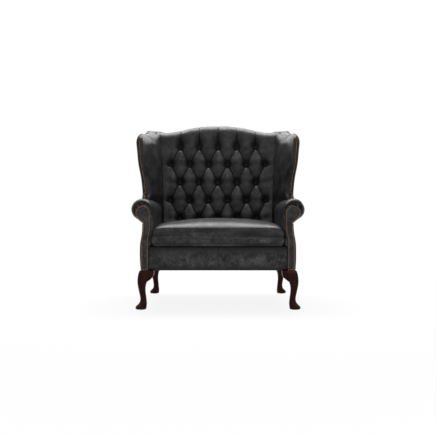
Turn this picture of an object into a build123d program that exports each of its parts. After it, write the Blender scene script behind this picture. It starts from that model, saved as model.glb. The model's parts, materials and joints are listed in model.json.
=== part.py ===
"""A two-seat wing-back cuddle chair with a buttoned leather back, scroll arms and one loose seat cushion.

X runs across the chair, Y towards its back and Z up. The origin is on the floor, under the middle of the
bounding box. The front of the chair faces -Y. Pieces named right_ are on +X and left_ ones on -X.
"""

from build123d import *
import math
import os

os.makedirs("parts", exist_ok=True)

# Overall sizes, in millimetres
overall_depth = 850
seat_box_width = 832
arm_spread = 930
arm_height = 591
leg_height = 207
base_depth = 661
crest_length = 878
toe_reach = 22

# Clearances, and how far a cutting shape runs past what it cuts
fit_gap = 0.3
pin_gap = 0.25
overrun = 30
pick_margin = 1

# Timber frame of the seat
rail_thickness = 28
rail_depth = 108
dust_cloth_thickness = 1.5
stump_thickness = 32
stump_inset = 5
block_size = 62
block_height = 46
post_width = 44
post_depth = 40
tack_rail_height = 32
arm_rail_width = 50
arm_rail_height = 24
arm_rail_inset = 12
arm_rail_drop = 33

# Seat platform and springs
seat_deck_height = 336
hessian_thickness = 1.5
lip_width = 70
spring_wire = 3.6
spring_width = 46
spring_bend = 9
spring_count = 6
spring_spacing = 96
spring_bars = 22
clip_width = 14
clip_wall = 2

# Arms: the roll, the inside face and the outside panel
roll_radius = 58
neck_half_width = 404
neck_height = 460
arm_panel_thickness = 10
arm_foot_half_width = 362
arm_pad_thickness = 10
sway_top = 445
sway_low = 352
roll_edge_round = 9

# Nailed facing on the front of each arm
facing_thickness = 8
facing_round = 2.5
scroll_radius = 41
scroll_half_width = 397
scroll_height = 514
facing_neck_half_width = 397.5
facing_neck_height = 465
facing_inner_half_width = 367.5
facing_outer_half_width = 407.5

# Front border under the cushion
border_belly = 7
border_thickness = 13
border_round = 8
border_reveal = 4
panel_foot_lap = 1

# Back: outside panel, frame, foam and the buttoned pad, counted forwards from the outside face
outside_back_thickness = 8
slat_width = 60
web_thickness = 1.5
web_width = 50
web_landing = 18
web_count = 5
web_spacing = 120
back_foam_thickness = 50
back_pad_thickness = 72
back_pad_half_width = 347
back_pad_waist_half_width = 361
back_pad_top_half_width = 402
camel_rise = 44
camel_half_width = 456
top_roll_front_round = 42
top_roll_back_round = 14
top_pad_thickness = 26
crest_rail_height = 70
back_pad_seat_gap = 3

# Buttons and pleats of the back
button_rows = 5
top_row_buttons = 5
button_pitch_across = 121
button_pitch_up = 117
button_top_drop = 161
button_radius = 12
button_dome = 6
button_stem_radius = 2
button_stem_length = 10
dimple_radius = 33
dimple_depth = 27
pleat_half_width = 9
pleat_flare = 1.03
pleat_depth = 9

# Wings
wing_half_width_top = 480
wing_panel_height = 960
wing_lean_in = 0.089
wing_toe_in = 0.042
wing_panel_thickness = 14
wing_board_thickness = 18
wing_board_inset = 12
wing_pad_half_width = 404
wing_pad_slope = 0.232
wing_pad_lean = 0.09
wing_rear_height = 1058
wing_shelf = 108
wing_cusp_reach = 487
wing_cusp_height = 1000
wing_rear_sag = 7
wing_lobe_bulge = 6
wing_corner_reach = 318
wing_corner_height = 966
wing_lobe_reach = 301
wing_lobe_height = 840
wing_waist_reach = 362
wing_waist_height = 665
wing_foot_reach = 318
wing_foot_height = 592
wing_root_height = 545
wing_inner_round = 15
wing_pad_round = 15
wing_outer_round = 8

# Seat cushion
cushion_half_width = 344
cushion_side_height = 108
cushion_crown = 42
cushion_corner_round = 16
cushion_leather = 3
cushion_setback = 3
cushion_back_gap = 2.4

# Cabriole legs: a leg is drawn on the corner where the seat box ends
leg_block = 60
ankle_height = 62
knee_height = 166
ear_reach = 76
ear_thickness = 20
ear_round = 1
ear_drop = 44
bolt_radius = 4
bolt_length = 64
bolt_bury = 30
glide_thickness = 3
glide_radius = 11
glide_pin_radius = 1.5
glide_pin_length = 9

# Nails
nail_radius = 3.8
nail_dome = 2.6
nail_pitch = 10.6
cusp_nail_gap = 4.4
nail_shank_radius = 0.8
nail_shank_length = 6
nail_inset = 6
wing_nail_inset = 19
wing_nail_press = 0.4

# Places worked out from the sizes above
box_half_width = seat_box_width / 2
front_y = -overall_depth / 2 + toe_reach
base_back_y = front_y + base_depth
arm_front_y = front_y + facing_thickness
frame_bottom = leg_height + dust_cloth_thickness
rail_top = frame_bottom + rail_depth
roll_half_width = arm_spread / 2 - roll_radius
roll_height = arm_height - roll_radius
inside_arm_half_width = roll_half_width - roll_radius
rake = math.asin((overall_depth / 2 - base_back_y) / crest_length)
back_plane = Plane(
    origin=(0, base_back_y, leg_height), x_dir=(1, 0, 0), z_dir=(0, -math.cos(rake), math.sin(rake))
)
frame_front_t = outside_back_thickness + post_depth
foam_back_t = frame_front_t + web_thickness
pad_back_t = foam_back_t + back_foam_thickness
pad_front_t = pad_back_t + back_pad_thickness
crest_h = crest_length
pad_bottom_rise = seat_deck_height + back_pad_seat_gap - leg_height
pad_bottom_h = (pad_bottom_rise - pad_back_t * math.sin(rake)) / math.cos(rake)
post_outer_half_width = neck_half_width - arm_panel_thickness
outer_wing_slope = Vector(1, wing_toe_in, -wing_lean_in).normalized()


def slope_length(height, forward):
    """Distance up the raked back plane to a height, at a distance forward of the plane."""
    return (height - leg_height - forward * math.sin(rake)) / math.cos(rake)


def raked_y(height, forward):
    """Y of the raked back at a height, at a distance forward of the outside face."""
    return base_back_y + slope_length(height, forward) * math.sin(rake) - forward * math.cos(rake)


def wing_outer_x(y, z):
    """X of the outside face of the right wing."""
    spread_out = wing_lean_in * (z - wing_panel_height)
    return wing_half_width_top + spread_out - wing_toe_in * (y - front_y - wing_corner_reach)


def wing_inner_x(y, z):
    """X of the sitter's side of the right wing."""
    rise = wing_pad_lean * (z - arm_height)
    return wing_pad_half_width - wing_pad_slope * (y - front_y - wing_corner_reach) + rise


def wing_plane(depth):
    """Plane parallel to the right wing's outside face, at a depth inside it, facing out."""
    point = Vector(wing_outer_x(front_y, leg_height), front_y, leg_height)
    return Plane(origin=point - outer_wing_slope * depth, z_dir=outer_wing_slope)


def save(piece, name):
    """Labels a finished piece and writes it."""
    piece.part.label = name
    export_step(piece.part, f"parts/{name}.step")


def save_pair(piece, name):
    """Writes a piece of the right side, and its twin of the left side."""
    save(piece, f"right_{name}")
    with BuildPart() as twin:
        mirror(piece.part, about=Plane.YZ)
    save(twin, f"left_{name}")


def sway(start, end):
    """An S curve between two points that leaves and arrives upright."""
    middle = (start[1] + end[1]) / 2
    return Bezier(start, (start[0], middle), (end[0], middle), end)


def tangent_point(centre, radius, point, side):
    """Where a line from a point touches a circle, on the side asked for."""
    dx, dz = point[0] - centre[0], point[1] - centre[1]
    angle = math.atan2(dz, dx) + side * math.acos(radius / math.hypot(dx, dz))
    return (centre[0] + radius * math.cos(angle), centre[1] + radius * math.sin(angle))


def on_circle(centre, radius, angle):
    """A point of a circle, at an angle in degrees."""
    turn = math.radians(angle)
    return (centre[0] + radius * math.cos(turn), centre[1] + radius * math.sin(turn))


def facing_line(inset):
    """The scroll outline of an arm facing, drawn inwards by an inset."""
    centre, radius = (scroll_half_width, scroll_height), scroll_radius - inset
    bottom = leg_height + inset
    inner_x, outer_x = facing_inner_half_width + inset, facing_outer_half_width - inset
    neck_x = facing_neck_half_width - inset
    neck = (neck_x, facing_neck_height)
    touch = tangent_point(centre, radius, neck, 1)
    with BuildLine() as line:
        Polyline((outer_x, bottom), (inner_x, bottom), (inner_x, sway_low))
        sway((inner_x, sway_low), (centre[0] - radius, sway_top))
        Line((centre[0] - radius, sway_top), (centre[0] - radius, scroll_height))
        ThreePointArc((centre[0] - radius, scroll_height), on_circle(centre, radius, 90), touch)
        Polyline(touch, neck, (neck_x, sway_top))
        sway((neck_x, sway_top), (outer_x, sway_low))
        Line((outer_x, sway_low), (outer_x, bottom))
    return line.line


def roll_face(grow):
    """The section of the arm roll with the slope under it, grown by a clearance."""
    centre, radius = (roll_half_width, roll_height), roll_radius + grow
    neck = (neck_half_width + grow, neck_height)
    touch = tangent_point(centre, radius, neck, 1)
    with BuildSketch(Plane.XZ) as section:
        with Locations(centre):
            Circle(radius)
        with BuildLine():
            inner_x = centre[0] - radius
            Polyline(neck, touch, centre, (inner_x, roll_height), (inner_x, neck_height), neck)
        make_face()
    return section.sketch


def camel_points(half_width, drop):
    """Points of the crest line across the back plane, from left to right, lowered by a drop."""
    across_shares = (1, 0.873, 0.684, 0.575, 0.44, 0.263)
    fall_shares = (0.75, 0.89, 1, 0.85, 0.5, 0.15)
    right = [
        (share * camel_half_width, crest_h - drop - fall * camel_rise)
        for share, fall in zip(across_shares, fall_shares)
        if share * camel_half_width < half_width
    ]
    edge = (half_width, crest_h - drop - camel_fall(half_width) * camel_rise)
    right = [edge] + right
    return [(-x, h) for x, h in right] + [(0, crest_h - drop)] + right[::-1]


def camel_fall(half_width):
    """Share of the camel rise by which the crest has fallen at a half width, past its low points."""
    low_share, end_share, end_fall_share = 0.684, 1, 0.75
    reach = (half_width / camel_half_width - low_share) / (end_share - low_share)
    return 1 - (1 - end_fall_share) * reach


# Cabriole leg. Its sections follow a line on the diagonal of the corner, from the foot up to the block. Each
# row gives a height share, how far the section stands out past the seat box and its width in shares of the
# toe reach, and the corner radius as a share of that width.
foot_shares = (
    (0.2, 1, 2.66, 0.46),
    (0.34, 0.78, 2.47, 0.47),
    (0.5, 0.3, 2.0, 0.47),
    (0.72, -0.04, 1.6, 0.46),
)
shin_shares = (
    (0, -0.08, 1.48, 0.44),
    (0.28, 0.13, 1.54, 0.36),
    (0.55, 0.37, 1.78, 0.3),
    (0.78, 0.49, 2.14, 0.24),
)
knee_shares = ((0, 0.48, 2.46, 0.2), (0.5, 0.34, 2.6, 0.16))
sole_shares = (0.74, 2.2, 0.4)


def leg_section(height, outer, width, corner_share):
    """One rounded-square section of the front right leg; outer is how far it stands past the seat box."""
    middle = outer - width / 2
    with BuildSketch(Plane(origin=(box_half_width + middle, front_y - middle, height))) as section:
        RectangleRounded(width, width, corner_share * width)
    return section.sketch


def leg_sections():
    """All the sections of the front right leg, from the sole up."""
    rows = [(glide_thickness,) + sole_shares]
    rows += [(ankle_height * row[0],) + row[1:] for row in foot_shares]
    rows += [(ankle_height + (knee_height - ankle_height) * row[0],) + row[1:] for row in shin_shares]
    rows += [(knee_height + (leg_height - knee_height) * row[0],) + row[1:] for row in knee_shares]
    sections = [leg_section(z, toe_reach * out, toe_reach * width, share) for z, out, width, share in rows]
    return sections + [leg_section(leg_height, 0, leg_block, 0.1)]


sole_middle = toe_reach * (sole_shares[0] - sole_shares[1] / 2)
sole_spots = [
    (side * (box_half_width + sole_middle), y)
    for side in (1, -1)
    for y in (front_y - sole_middle, base_back_y + sole_middle)
]
bolt_spots = [
    (side * (box_half_width - leg_block / 2 - stump_inset), y)
    for side in (1, -1)
    for y in (front_y + leg_block / 2 - stump_inset, base_back_y - leg_block / 2)
]

with BuildPart() as leg_bolts:
    with Locations([(x, y, leg_height - bolt_bury) for x, y in bolt_spots]):
        Cylinder(bolt_radius, bolt_length, align=(Align.CENTER, Align.CENTER, Align.MIN))

with BuildPart() as bolt_holes:
    with Locations([(x, y, leg_height - bolt_bury - pin_gap) for x, y in bolt_spots]):
        Cylinder(
            bolt_radius + pin_gap,
            bolt_length + 2 * pin_gap,
            align=(Align.CENTER, Align.CENTER, Align.MIN),
        )

with BuildPart() as foot_glides:
    with Locations([(x, y, 0) for x, y in sole_spots]):
        Cylinder(glide_radius, glide_thickness, align=(Align.CENTER, Align.CENTER, Align.MIN))
    with Locations([(x, y, glide_thickness) for x, y in sole_spots]):
        Cylinder(glide_pin_radius, glide_pin_length, align=(Align.CENTER, Align.CENTER, Align.MIN))

with BuildPart() as glide_holes:
    with Locations([(x, y, 0) for x, y in sole_spots]):
        Cylinder(
            glide_pin_radius + pin_gap,
            glide_thickness + glide_pin_length + pin_gap,
            align=(Align.CENTER, Align.CENTER, Align.MIN),
        )


def ear_outline():
    """The side of one ear: level on top, hollow underneath, running into the knee."""
    with BuildLine() as line:
        Polyline((leg_block / 2, 0), (ear_reach, 0), (ear_reach, -ear_drop * 0.2))
        Bezier(
            (ear_reach, -ear_drop * 0.2),
            (ear_reach, -ear_drop * 0.76),
            (ear_reach * 0.84, -ear_drop),
            (leg_block / 2, -(leg_height - knee_height) * 1.6),
        )
        Line((leg_block / 2, -(leg_height - knee_height) * 1.6), (leg_block / 2, 0))
    return line.line


with BuildPart() as front_leg:
    loft(leg_sections())
    side_ear = (box_half_width, front_y + ear_round, leg_height)
    with BuildSketch(Plane(origin=side_ear, x_dir=(-1, 0, 0), z_dir=(0, 1, 0))):
        with BuildLine():
            add(ear_outline())
        make_face()
    extrude(amount=ear_thickness)
    back_ear = (box_half_width - ear_round, front_y, leg_height)
    with BuildSketch(Plane(origin=back_ear, x_dir=(0, 1, 0), z_dir=(1, 0, 0))):
        with BuildLine():
            add(ear_outline())
        make_face()
    extrude(amount=-ear_thickness)

base_middle = Plane.XZ.offset(-(front_y + base_back_y) / 2)
for name, flips in (("front_right", ()), ("front_left", (1,)), ("rear_right", (2,)), ("rear_left", (1, 2))):
    with BuildPart() as leg:
        shape = front_leg.part
        if 1 in flips:
            shape = mirror(shape, about=Plane.YZ, mode=Mode.PRIVATE)
        if 2 in flips:
            shape = mirror(shape, about=base_middle, mode=Mode.PRIVATE)
        add(shape)
        add(bolt_holes.part, mode=Mode.SUBTRACT)
        add(glide_holes.part, mode=Mode.SUBTRACT)
    save(leg, f"{name}_leg")

save(leg_bolts, "leg_bolts")
save(foot_glides, "foot_glides")

# Shapes that other pieces are cut with
far = 4 * overall_depth
with BuildPart() as behind_frame:
    with Locations(back_plane.offset(outside_back_thickness)):
        Box(far, far, far, align=(Align.CENTER, Align.CENTER, Align.MAX))

with BuildPart() as behind_outside:
    with Locations(back_plane):
        Box(far, far, far, align=(Align.CENTER, Align.CENTER, Align.MAX))

with BuildPart() as behind_posts:
    with Locations(back_plane.offset(frame_front_t)):
        Box(far, far, far, align=(Align.CENTER, Align.CENTER, Align.MAX))

with BuildPart() as behind_pad:
    with Locations(back_plane.offset(pad_front_t)):
        Box(far, far, far, align=(Align.CENTER, Align.CENTER, Align.MAX))

with BuildPart() as below_frame:
    with Locations((0, 0, frame_bottom)):
        Box(far, far, far, align=(Align.CENTER, Align.CENTER, Align.MAX))

with BuildPart() as below_covers:
    with Locations((0, 0, leg_height)):
        Box(far, far, far, align=(Align.CENTER, Align.CENTER, Align.MAX))

with BuildPart() as above_rails:
    with Locations((0, 0, rail_top)):
        Box(far, far, far, align=(Align.CENTER, Align.CENTER, Align.MIN))

# Back posts and rails, in the raked plane of the back
post_inner_half_width = post_outer_half_width - post_width
post_length = slope_length(wing_rear_height, 0) - crest_rail_height
with BuildPart() as back_post:
    with BuildSketch(back_plane.offset(outside_back_thickness)):
        with Locations((post_inner_half_width, 0)):
            Rectangle(post_width, post_length, align=(Align.MIN, Align.MIN))
        with Locations((post_inner_half_width, 0)):
            Rectangle(post_width, leg_block, align=(Align.MIN, Align.MAX))
    extrude(amount=post_depth)
    add(below_frame.part, mode=Mode.SUBTRACT)
    add(bolt_holes.part, mode=Mode.SUBTRACT)
save_pair(back_post, "back_post")

with BuildPart() as rear_seat_rail:
    with BuildSketch(back_plane.offset(outside_back_thickness)):
        Rectangle(2 * post_inner_half_width, 3 * slope_length(rail_top, outside_back_thickness))
    extrude(amount=rail_thickness)
    add(below_frame.part, mode=Mode.SUBTRACT)
    add(above_rails.part, mode=Mode.SUBTRACT)
save(rear_seat_rail, "rear_seat_rail")

lower_rail_h = slope_length(seat_deck_height, outside_back_thickness)
with BuildPart() as back_lower_rail:
    with BuildSketch(back_plane.offset(outside_back_thickness)):
        with Locations((0, lower_rail_h)):
            Rectangle(2 * post_inner_half_width, post_width, align=(Align.CENTER, Align.MIN))
    extrude(amount=post_depth)
save(back_lower_rail, "back_lower_rail")

rail_low_h = crest_h - camel_rise - top_pad_thickness - crest_rail_height
with BuildPart() as back_top_rail:
    with BuildSketch(back_plane.offset(outside_back_thickness)):
        with BuildLine():
            crest = camel_points(back_pad_top_half_width, top_pad_thickness)
            Spline(crest)
            Polyline(crest[-1], (crest[-1][0], rail_low_h), (crest[0][0], rail_low_h), crest[0])
        make_face()
        Rectangle(2 * post_inner_half_width, far, mode=Mode.INTERSECT)
    extrude(amount=post_depth)
save(back_top_rail, "back_top_rail")

with BuildPart() as back_centre_slat:
    with BuildSketch(back_plane.offset(outside_back_thickness)):
        with Locations((0, lower_rail_h + post_width)):
            Rectangle(slat_width, rail_low_h - lower_rail_h - post_width, align=(Align.CENTER, Align.MIN))
    extrude(amount=post_depth)
save(back_centre_slat, "back_centre_slat")

# Arm stumps, rails of the seat and rails of the arms
stump_back_y = arm_front_y + stump_thickness
border_back_y = front_y + border_reveal + border_belly + border_thickness
rail_outer_x = post_outer_half_width
with BuildPart() as arm_stump:
    with BuildSketch(Plane.XZ.offset(-arm_front_y)):
        with BuildLine():
            add(facing_line(stump_inset))
        make_face()
    extrude(amount=-stump_thickness)
    with BuildSketch(Plane.XY.offset(frame_bottom)):
        with Locations((facing_inner_half_width + stump_inset, arm_front_y)):
            stump_width = facing_outer_half_width - facing_inner_half_width - 2 * stump_inset
            Rectangle(stump_width, stump_thickness, align=(Align.MIN, Align.MIN))
    extrude(amount=leg_height + stump_inset - frame_bottom)
    add(bolt_holes.part, mode=Mode.SUBTRACT)
save_pair(arm_stump, "arm_stump")

with BuildPart() as front_seat_rail:
    with Locations((0, border_back_y, frame_bottom)):
        Box(
            2 * (facing_inner_half_width + stump_inset),
            rail_thickness,
            rail_depth,
            align=(Align.CENTER, Align.MIN, Align.MIN),
        )
save(front_seat_rail, "front_seat_rail")

with BuildPart() as side_seat_rail:
    with Locations((rail_outer_x, stump_back_y, frame_bottom)):
        Box(rail_thickness, base_depth, rail_depth, align=(Align.MAX, Align.MIN, Align.MIN))
    add(behind_posts.part, mode=Mode.SUBTRACT)
    add(front_seat_rail.part, mode=Mode.SUBTRACT)
save_pair(side_seat_rail, "side_seat_rail")

with BuildPart() as arm_tack_rail:
    with Locations((rail_outer_x, stump_back_y, rail_top)):
        Box(
            rail_outer_x - arm_foot_half_width - arm_pad_thickness,
            base_depth,
            tack_rail_height,
            align=(Align.MAX, Align.MIN, Align.MIN),
        )
    add(behind_posts.part, mode=Mode.SUBTRACT)
save_pair(arm_tack_rail, "arm_tack_rail")

arm_rail_x = roll_half_width - arm_rail_inset
arm_rail_z = roll_height - arm_rail_drop
with BuildPart() as arm_rail:
    with Locations((arm_rail_x, stump_back_y, arm_rail_z)):
        Box(arm_rail_width, base_depth, arm_rail_height, align=(Align.CENTER, Align.MIN, Align.MIN))
    add(behind_posts.part, mode=Mode.SUBTRACT)
save_pair(arm_rail, "arm_rail")

corner_y = border_back_y + rail_thickness
with BuildPart() as seat_corner_blocks:
    for side in (1, -1):
        inner_x = side * (rail_outer_x - rail_thickness)
        with BuildSketch(Plane.XY.offset(frame_bottom)):
            with BuildLine():
                end_x = inner_x - side * block_size
                Polyline((inner_x, corner_y), (end_x, corner_y), (inner_x, corner_y + block_size), close=True)
            make_face()
        extrude(amount=block_height)
        rear_y = raked_y(frame_bottom, outside_back_thickness + rail_thickness)
        with BuildSketch(Plane.XY.offset(frame_bottom)):
            with BuildLine():
                wide = rear_y + block_height
                near = rear_y - rail_thickness
                Polyline(
                    (inner_x, wide),
                    (end_x, wide),
                    (end_x, near),
                    (inner_x, near - block_size),
                    close=True,
                )
            make_face()
        extrude(amount=block_height)
    add(behind_posts.part, mode=Mode.SUBTRACT)
save(seat_corner_blocks, "seat_corner_blocks")

# Webbing across the back, tacked to the posts
with BuildPart() as back_webbing:
    with BuildSketch(back_plane.offset(frame_front_t)):
        middle_h = (lower_rail_h + rail_low_h) / 2
        web_steps = [step - (web_count - 1) / 2 for step in range(web_count)]
        with Locations([(0, middle_h + step * web_spacing) for step in web_steps]):
            Rectangle(2 * (post_inner_half_width + web_landing), web_width)
    extrude(amount=web_thickness)
save(back_webbing, "back_webbing")

# Nails: a domed head on a shank, with the underside of the head at the plane's origin
def nail(plane):
    """One nail, its head standing out along the plane's normal."""
    ball_radius = (nail_radius**2 + nail_dome**2) / nail_dome / 2
    with BuildPart() as piece:
        Cylinder(nail_radius, nail_dome, align=(Align.CENTER, Align.CENTER, Align.MIN))
        with Locations((0, 0, nail_dome - ball_radius)):
            Sphere(ball_radius, mode=Mode.INTERSECT)
        Cylinder(nail_shank_radius, nail_shank_length, align=(Align.CENTER, Align.CENTER, Align.MAX))
    return plane.location * piece.part


def nail_hole(plane):
    """The hole that one nail's shank sits in."""
    with BuildPart() as piece:
        Cylinder(
            nail_shank_radius + pin_gap,
            nail_shank_length + pin_gap,
            align=(Align.CENTER, Align.CENTER, Align.MAX),
        )
    return plane.location * piece.part


def spread(line, pitch):
    """Evenly spaced points along a wire, as near to a pitch as whole steps allow."""
    steps = round(line.length / pitch)
    return [line @ (step / steps) for step in range(steps)]


# Nailed facing of the right arm
facing_nail_planes = [
    Plane(origin=(point.X, front_y, point.Y), x_dir=(1, 0, 0), z_dir=(0, -1, 0))
    for point in spread(Wire(facing_line(nail_inset).edges()), nail_pitch)
]
with BuildPart() as facing_nails:
    add([nail(plane) for plane in facing_nail_planes])
save_pair(facing_nails, "facing_nails")

with BuildPart() as arm_facing:
    with BuildSketch(Plane.XZ.offset(-front_y)):
        with BuildLine():
            add(facing_line(0))
        make_face()
    extrude(amount=-facing_thickness)
    fillet(arm_facing.faces().sort_by(Axis.Y)[0].edges(), facing_round)
    add([nail_hole(plane) for plane in facing_nail_planes], mode=Mode.SUBTRACT)
save_pair(arm_facing, "arm_facing")

# Outside and inside of the right arm
panel_bottom_half_width = box_half_width - border_reveal + panel_foot_lap
with BuildPart() as outside_arm:
    with BuildSketch(Plane.XZ.offset(-arm_front_y)):
        with BuildLine():
            top = neck_height - arm_pad_thickness
            panel_foot = (panel_bottom_half_width, leg_height)
            Polyline((rail_outer_x, neck_height), (rail_outer_x, leg_height), panel_foot)
            Line(panel_foot, (box_half_width, leg_height + leg_block))
            Line((box_half_width, leg_height + leg_block), (box_half_width, rail_top))
            sway((box_half_width, rail_top), (neck_half_width, top))
            Polyline((neck_half_width, top), (neck_half_width, neck_height), (rail_outer_x, neck_height))
        make_face()
    extrude(amount=-far)
    add(behind_frame.part, mode=Mode.SUBTRACT)
    add(arm_stump.part, mode=Mode.SUBTRACT)
save_pair(outside_arm, "outside_arm")

with BuildPart() as inside_arm:
    with BuildSketch(Plane.XZ.offset(-arm_front_y)):
        add(roll_face(0))
        with BuildLine():
            inner, foot = inside_arm_half_width, arm_foot_half_width
            Polyline((inner, roll_height), (inner, sway_top))
            sway((inner, sway_top), (foot, sway_low))
            low = seat_deck_height
            Polyline((foot, sway_low), (foot, low), (foot + arm_pad_thickness, low))
            Line((foot + arm_pad_thickness, low), (foot + arm_pad_thickness, sway_low))
            sway((foot + arm_pad_thickness, sway_low), (inner + arm_pad_thickness, sway_top))
            pad_outer = inner + arm_pad_thickness
            Polyline((pad_outer, sway_top), (pad_outer, roll_height), (inner, roll_height))
        make_face()
    extrude(amount=-far)
    front_rim = inside_arm.faces().sort_by(Axis.Y)[0].edges().filter_by(GeomType.CIRCLE)
    fillet(front_rim, roll_edge_round)
    add(behind_frame.part, mode=Mode.SUBTRACT)
    add(arm_stump.part, mode=Mode.SUBTRACT)
    add(arm_rail.part, mode=Mode.SUBTRACT)
    add(back_post.part, mode=Mode.SUBTRACT)
    add(arm_tack_rail.part, mode=Mode.SUBTRACT)
    add(back_webbing.part, mode=Mode.SUBTRACT)
save_pair(inside_arm, "inside_arm")

# Front border, between the facings
with BuildPart() as front_border:
    edge_y, middle_z = front_y + border_reveal + border_belly, (leg_height + seat_deck_height) / 2
    with BuildSketch(Plane.YZ):
        with BuildLine():
            top, bottom = seat_deck_height - fit_gap, leg_height
            Polyline((edge_y, bottom), (border_back_y, bottom), (border_back_y, top), (edge_y, top))
            ThreePointArc((edge_y, top), (front_y + border_reveal, middle_z), (edge_y, bottom))
        make_face()
    extrude(amount=facing_inner_half_width - fit_gap, both=True)
    fillet(front_border.edges().filter_by(Axis.X).group_by(Axis.Y)[0], border_round)
save(front_border, "front_border")

# Platform of the seat
deck_half_width = arm_foot_half_width + arm_pad_thickness - fit_gap
clip_top = rail_top + spring_wire + 2 * clip_wall
hessian_top = clip_top + hessian_thickness
with BuildPart() as seat_hessian:
    with Locations((0, border_back_y, clip_top)):
        Box(2 * deck_half_width, base_depth, hessian_thickness, align=(Align.CENTER, Align.MIN, Align.MIN))
    add(behind_posts.part, mode=Mode.SUBTRACT)
save(seat_hessian, "seat_hessian")

with BuildPart() as seat_lip:
    with Locations((0, border_back_y, hessian_top)):
        Box(
            2 * (deck_half_width),
            lip_width,
            seat_deck_height - hessian_top,
            align=(Align.CENTER, Align.MIN, Align.MIN),
        )
save(seat_lip, "seat_lip")

with BuildPart() as seat_deck:
    with Locations((0, border_back_y + lip_width, hessian_top)):
        Box(
            2 * (deck_half_width),
            base_depth,
            seat_deck_height - hessian_top,
            align=(Align.CENTER, Align.MIN, Align.MIN),
        )
    add(behind_posts.part, mode=Mode.SUBTRACT)
    add(back_lower_rail.part, mode=Mode.SUBTRACT)
save(seat_deck, "seat_deck")

with BuildPart() as dust_cover:
    with Locations((0, border_back_y, leg_height)):
        Box(2 * rail_outer_x, base_depth, dust_cloth_thickness, align=(Align.CENTER, Align.MIN, Align.MIN))
    add(behind_frame.part, mode=Mode.SUBTRACT)
    add(bolt_holes.part, mode=Mode.SUBTRACT)
save(dust_cover, "dust_cover")

# Springs: each wire zigzags from the front rail to the rear rail, held by a clip at each end
wire_z = rail_top + clip_wall + spring_wire / 2
spring_front_y = border_back_y + rail_thickness / 2
spring_back_y = raked_y(rail_top, outside_back_thickness + rail_thickness / 2)
spring_places = [(step - (spring_count - 1) / 2) * spring_spacing for step in range(spring_count)]
with BuildPart() as one_spring:
    pitch = (spring_back_y - spring_front_y) / (spring_bars - 1)
    corners = []
    for bar in range(spring_bars):
        side = 1 if bar % 2 else -1
        y = spring_front_y + bar * pitch
        corners += [(-side * spring_width / 2, y, wire_z), (side * spring_width / 2, y, wire_z)]
    with BuildLine() as zigzag:
        FilletPolyline(*corners, radius=spring_bend)
    with BuildSketch(Plane(origin=corners[0], z_dir=zigzag.line % 0)):
        Circle(spring_wire / 2)
    sweep(path=zigzag.line)
with BuildPart() as seat_springs:
    with Locations([(x, 0, 0) for x in spring_places]):
        add(one_spring.part)
save(seat_springs, "seat_springs")

with BuildPart() as spring_clips:
    clip_length = spring_wire + 2 * clip_wall
    with Locations([(x, y, rail_top) for x in spring_places for y in (spring_front_y, spring_back_y)]):
        Box(clip_width, clip_length, clip_length, align=(Align.CENTER, Align.CENTER, Align.MIN))
    with Locations([(x, y, wire_z) for x in spring_places for y in (spring_front_y, spring_back_y)]):
        Cylinder(spring_wire / 2 + pin_gap, 2 * clip_width, rotation=(0, 90, 0), mode=Mode.SUBTRACT)
save(spring_clips, "spring_clips")

# Foam of the back
foam_half_width = back_pad_half_width - arm_pad_thickness
with BuildPart() as back_foam:
    with BuildSketch(back_plane.offset(foam_back_t)):
        with BuildLine():
            crest = camel_points(back_pad_top_half_width, top_pad_thickness)
            Spline(crest)
            Polyline(crest[-1], (crest[-1][0], pad_bottom_h), (crest[0][0], pad_bottom_h), crest[0])
        make_face()
        Rectangle(2 * foam_half_width, far, mode=Mode.INTERSECT)
    extrude(amount=back_foam_thickness)
    add(seat_deck.part, mode=Mode.SUBTRACT)
save(back_foam, "back_foam")


def pad_outline(drop):
    """The outline of the inside back, across the back plane."""
    waist_h = slope_length(wing_lobe_height, pad_front_t)
    shoulder_h = crest_h - camel_rise - top_roll_front_round
    crest = camel_points(back_pad_top_half_width, drop)
    low, waist, top = back_pad_half_width, back_pad_waist_half_width, back_pad_top_half_width
    with BuildLine() as line:
        Spline(crest)
        arm_h = slope_length(arm_height, pad_front_t)
        Polyline(crest[-1], (top, shoulder_h), (waist, waist_h), (low, arm_h))
        Polyline((low, arm_h), (low, pad_bottom_h), (-low, pad_bottom_h))
        Polyline((-low, pad_bottom_h), (-low, arm_h), (-waist, waist_h))
        Polyline((-waist, waist_h), (-top, shoulder_h), crest[0])
    return line.line


button_t = pad_front_t - dimple_depth
row_heights = [crest_h - button_top_drop - row * button_pitch_up for row in range(button_rows)]
button_spots = []
for row, h in enumerate(row_heights):
    count = top_row_buttons + row % 2
    places = [(place - (count - 1) / 2) * button_pitch_across for place in range(count)]
    button_spots += [(row, x, h) for x in places]


def pleat_pairs():
    """Pairs of points on the pad's face that a pleat runs between."""
    pairs = []
    for row, x, h in button_spots:
        below = [spot for spot in button_spots if spot[0] == row + 1]
        nexts = [(x2, h2) for row2, x2, h2 in below if abs(x2 - x) < button_pitch_across]
        pairs += [((x, h), spot) for spot in nexts]
        if row == 0:
            pairs.append(((x, h), (x * pleat_flare, crest_h)))
    return pairs


def pleat(start, end):
    """A three-sided bar that cuts one pleat into the pad's face."""
    way = Vector(end[0] - start[0], end[1] - start[1]).normalized()
    across = Vector(-way.Y, way.X)
    origin = back_plane.offset(pad_front_t).from_local_coords(Vector(start[0], start[1]))
    along = back_plane.from_local_coords(way) - back_plane.origin
    side = back_plane.from_local_coords(across) - back_plane.origin
    with BuildPart() as bar:
        with BuildSketch(Plane(origin=origin, x_dir=side, z_dir=along)):
            with BuildLine():
                down = 1 if (side.cross(back_plane.z_dir)).dot(along) > 0 else -1
                Polyline((-pleat_half_width, 0), (pleat_half_width, 0), (0, -down * pleat_depth), close=True)
            make_face()
        extrude(amount=math.dist(start, end))
    return bar.part


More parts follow.
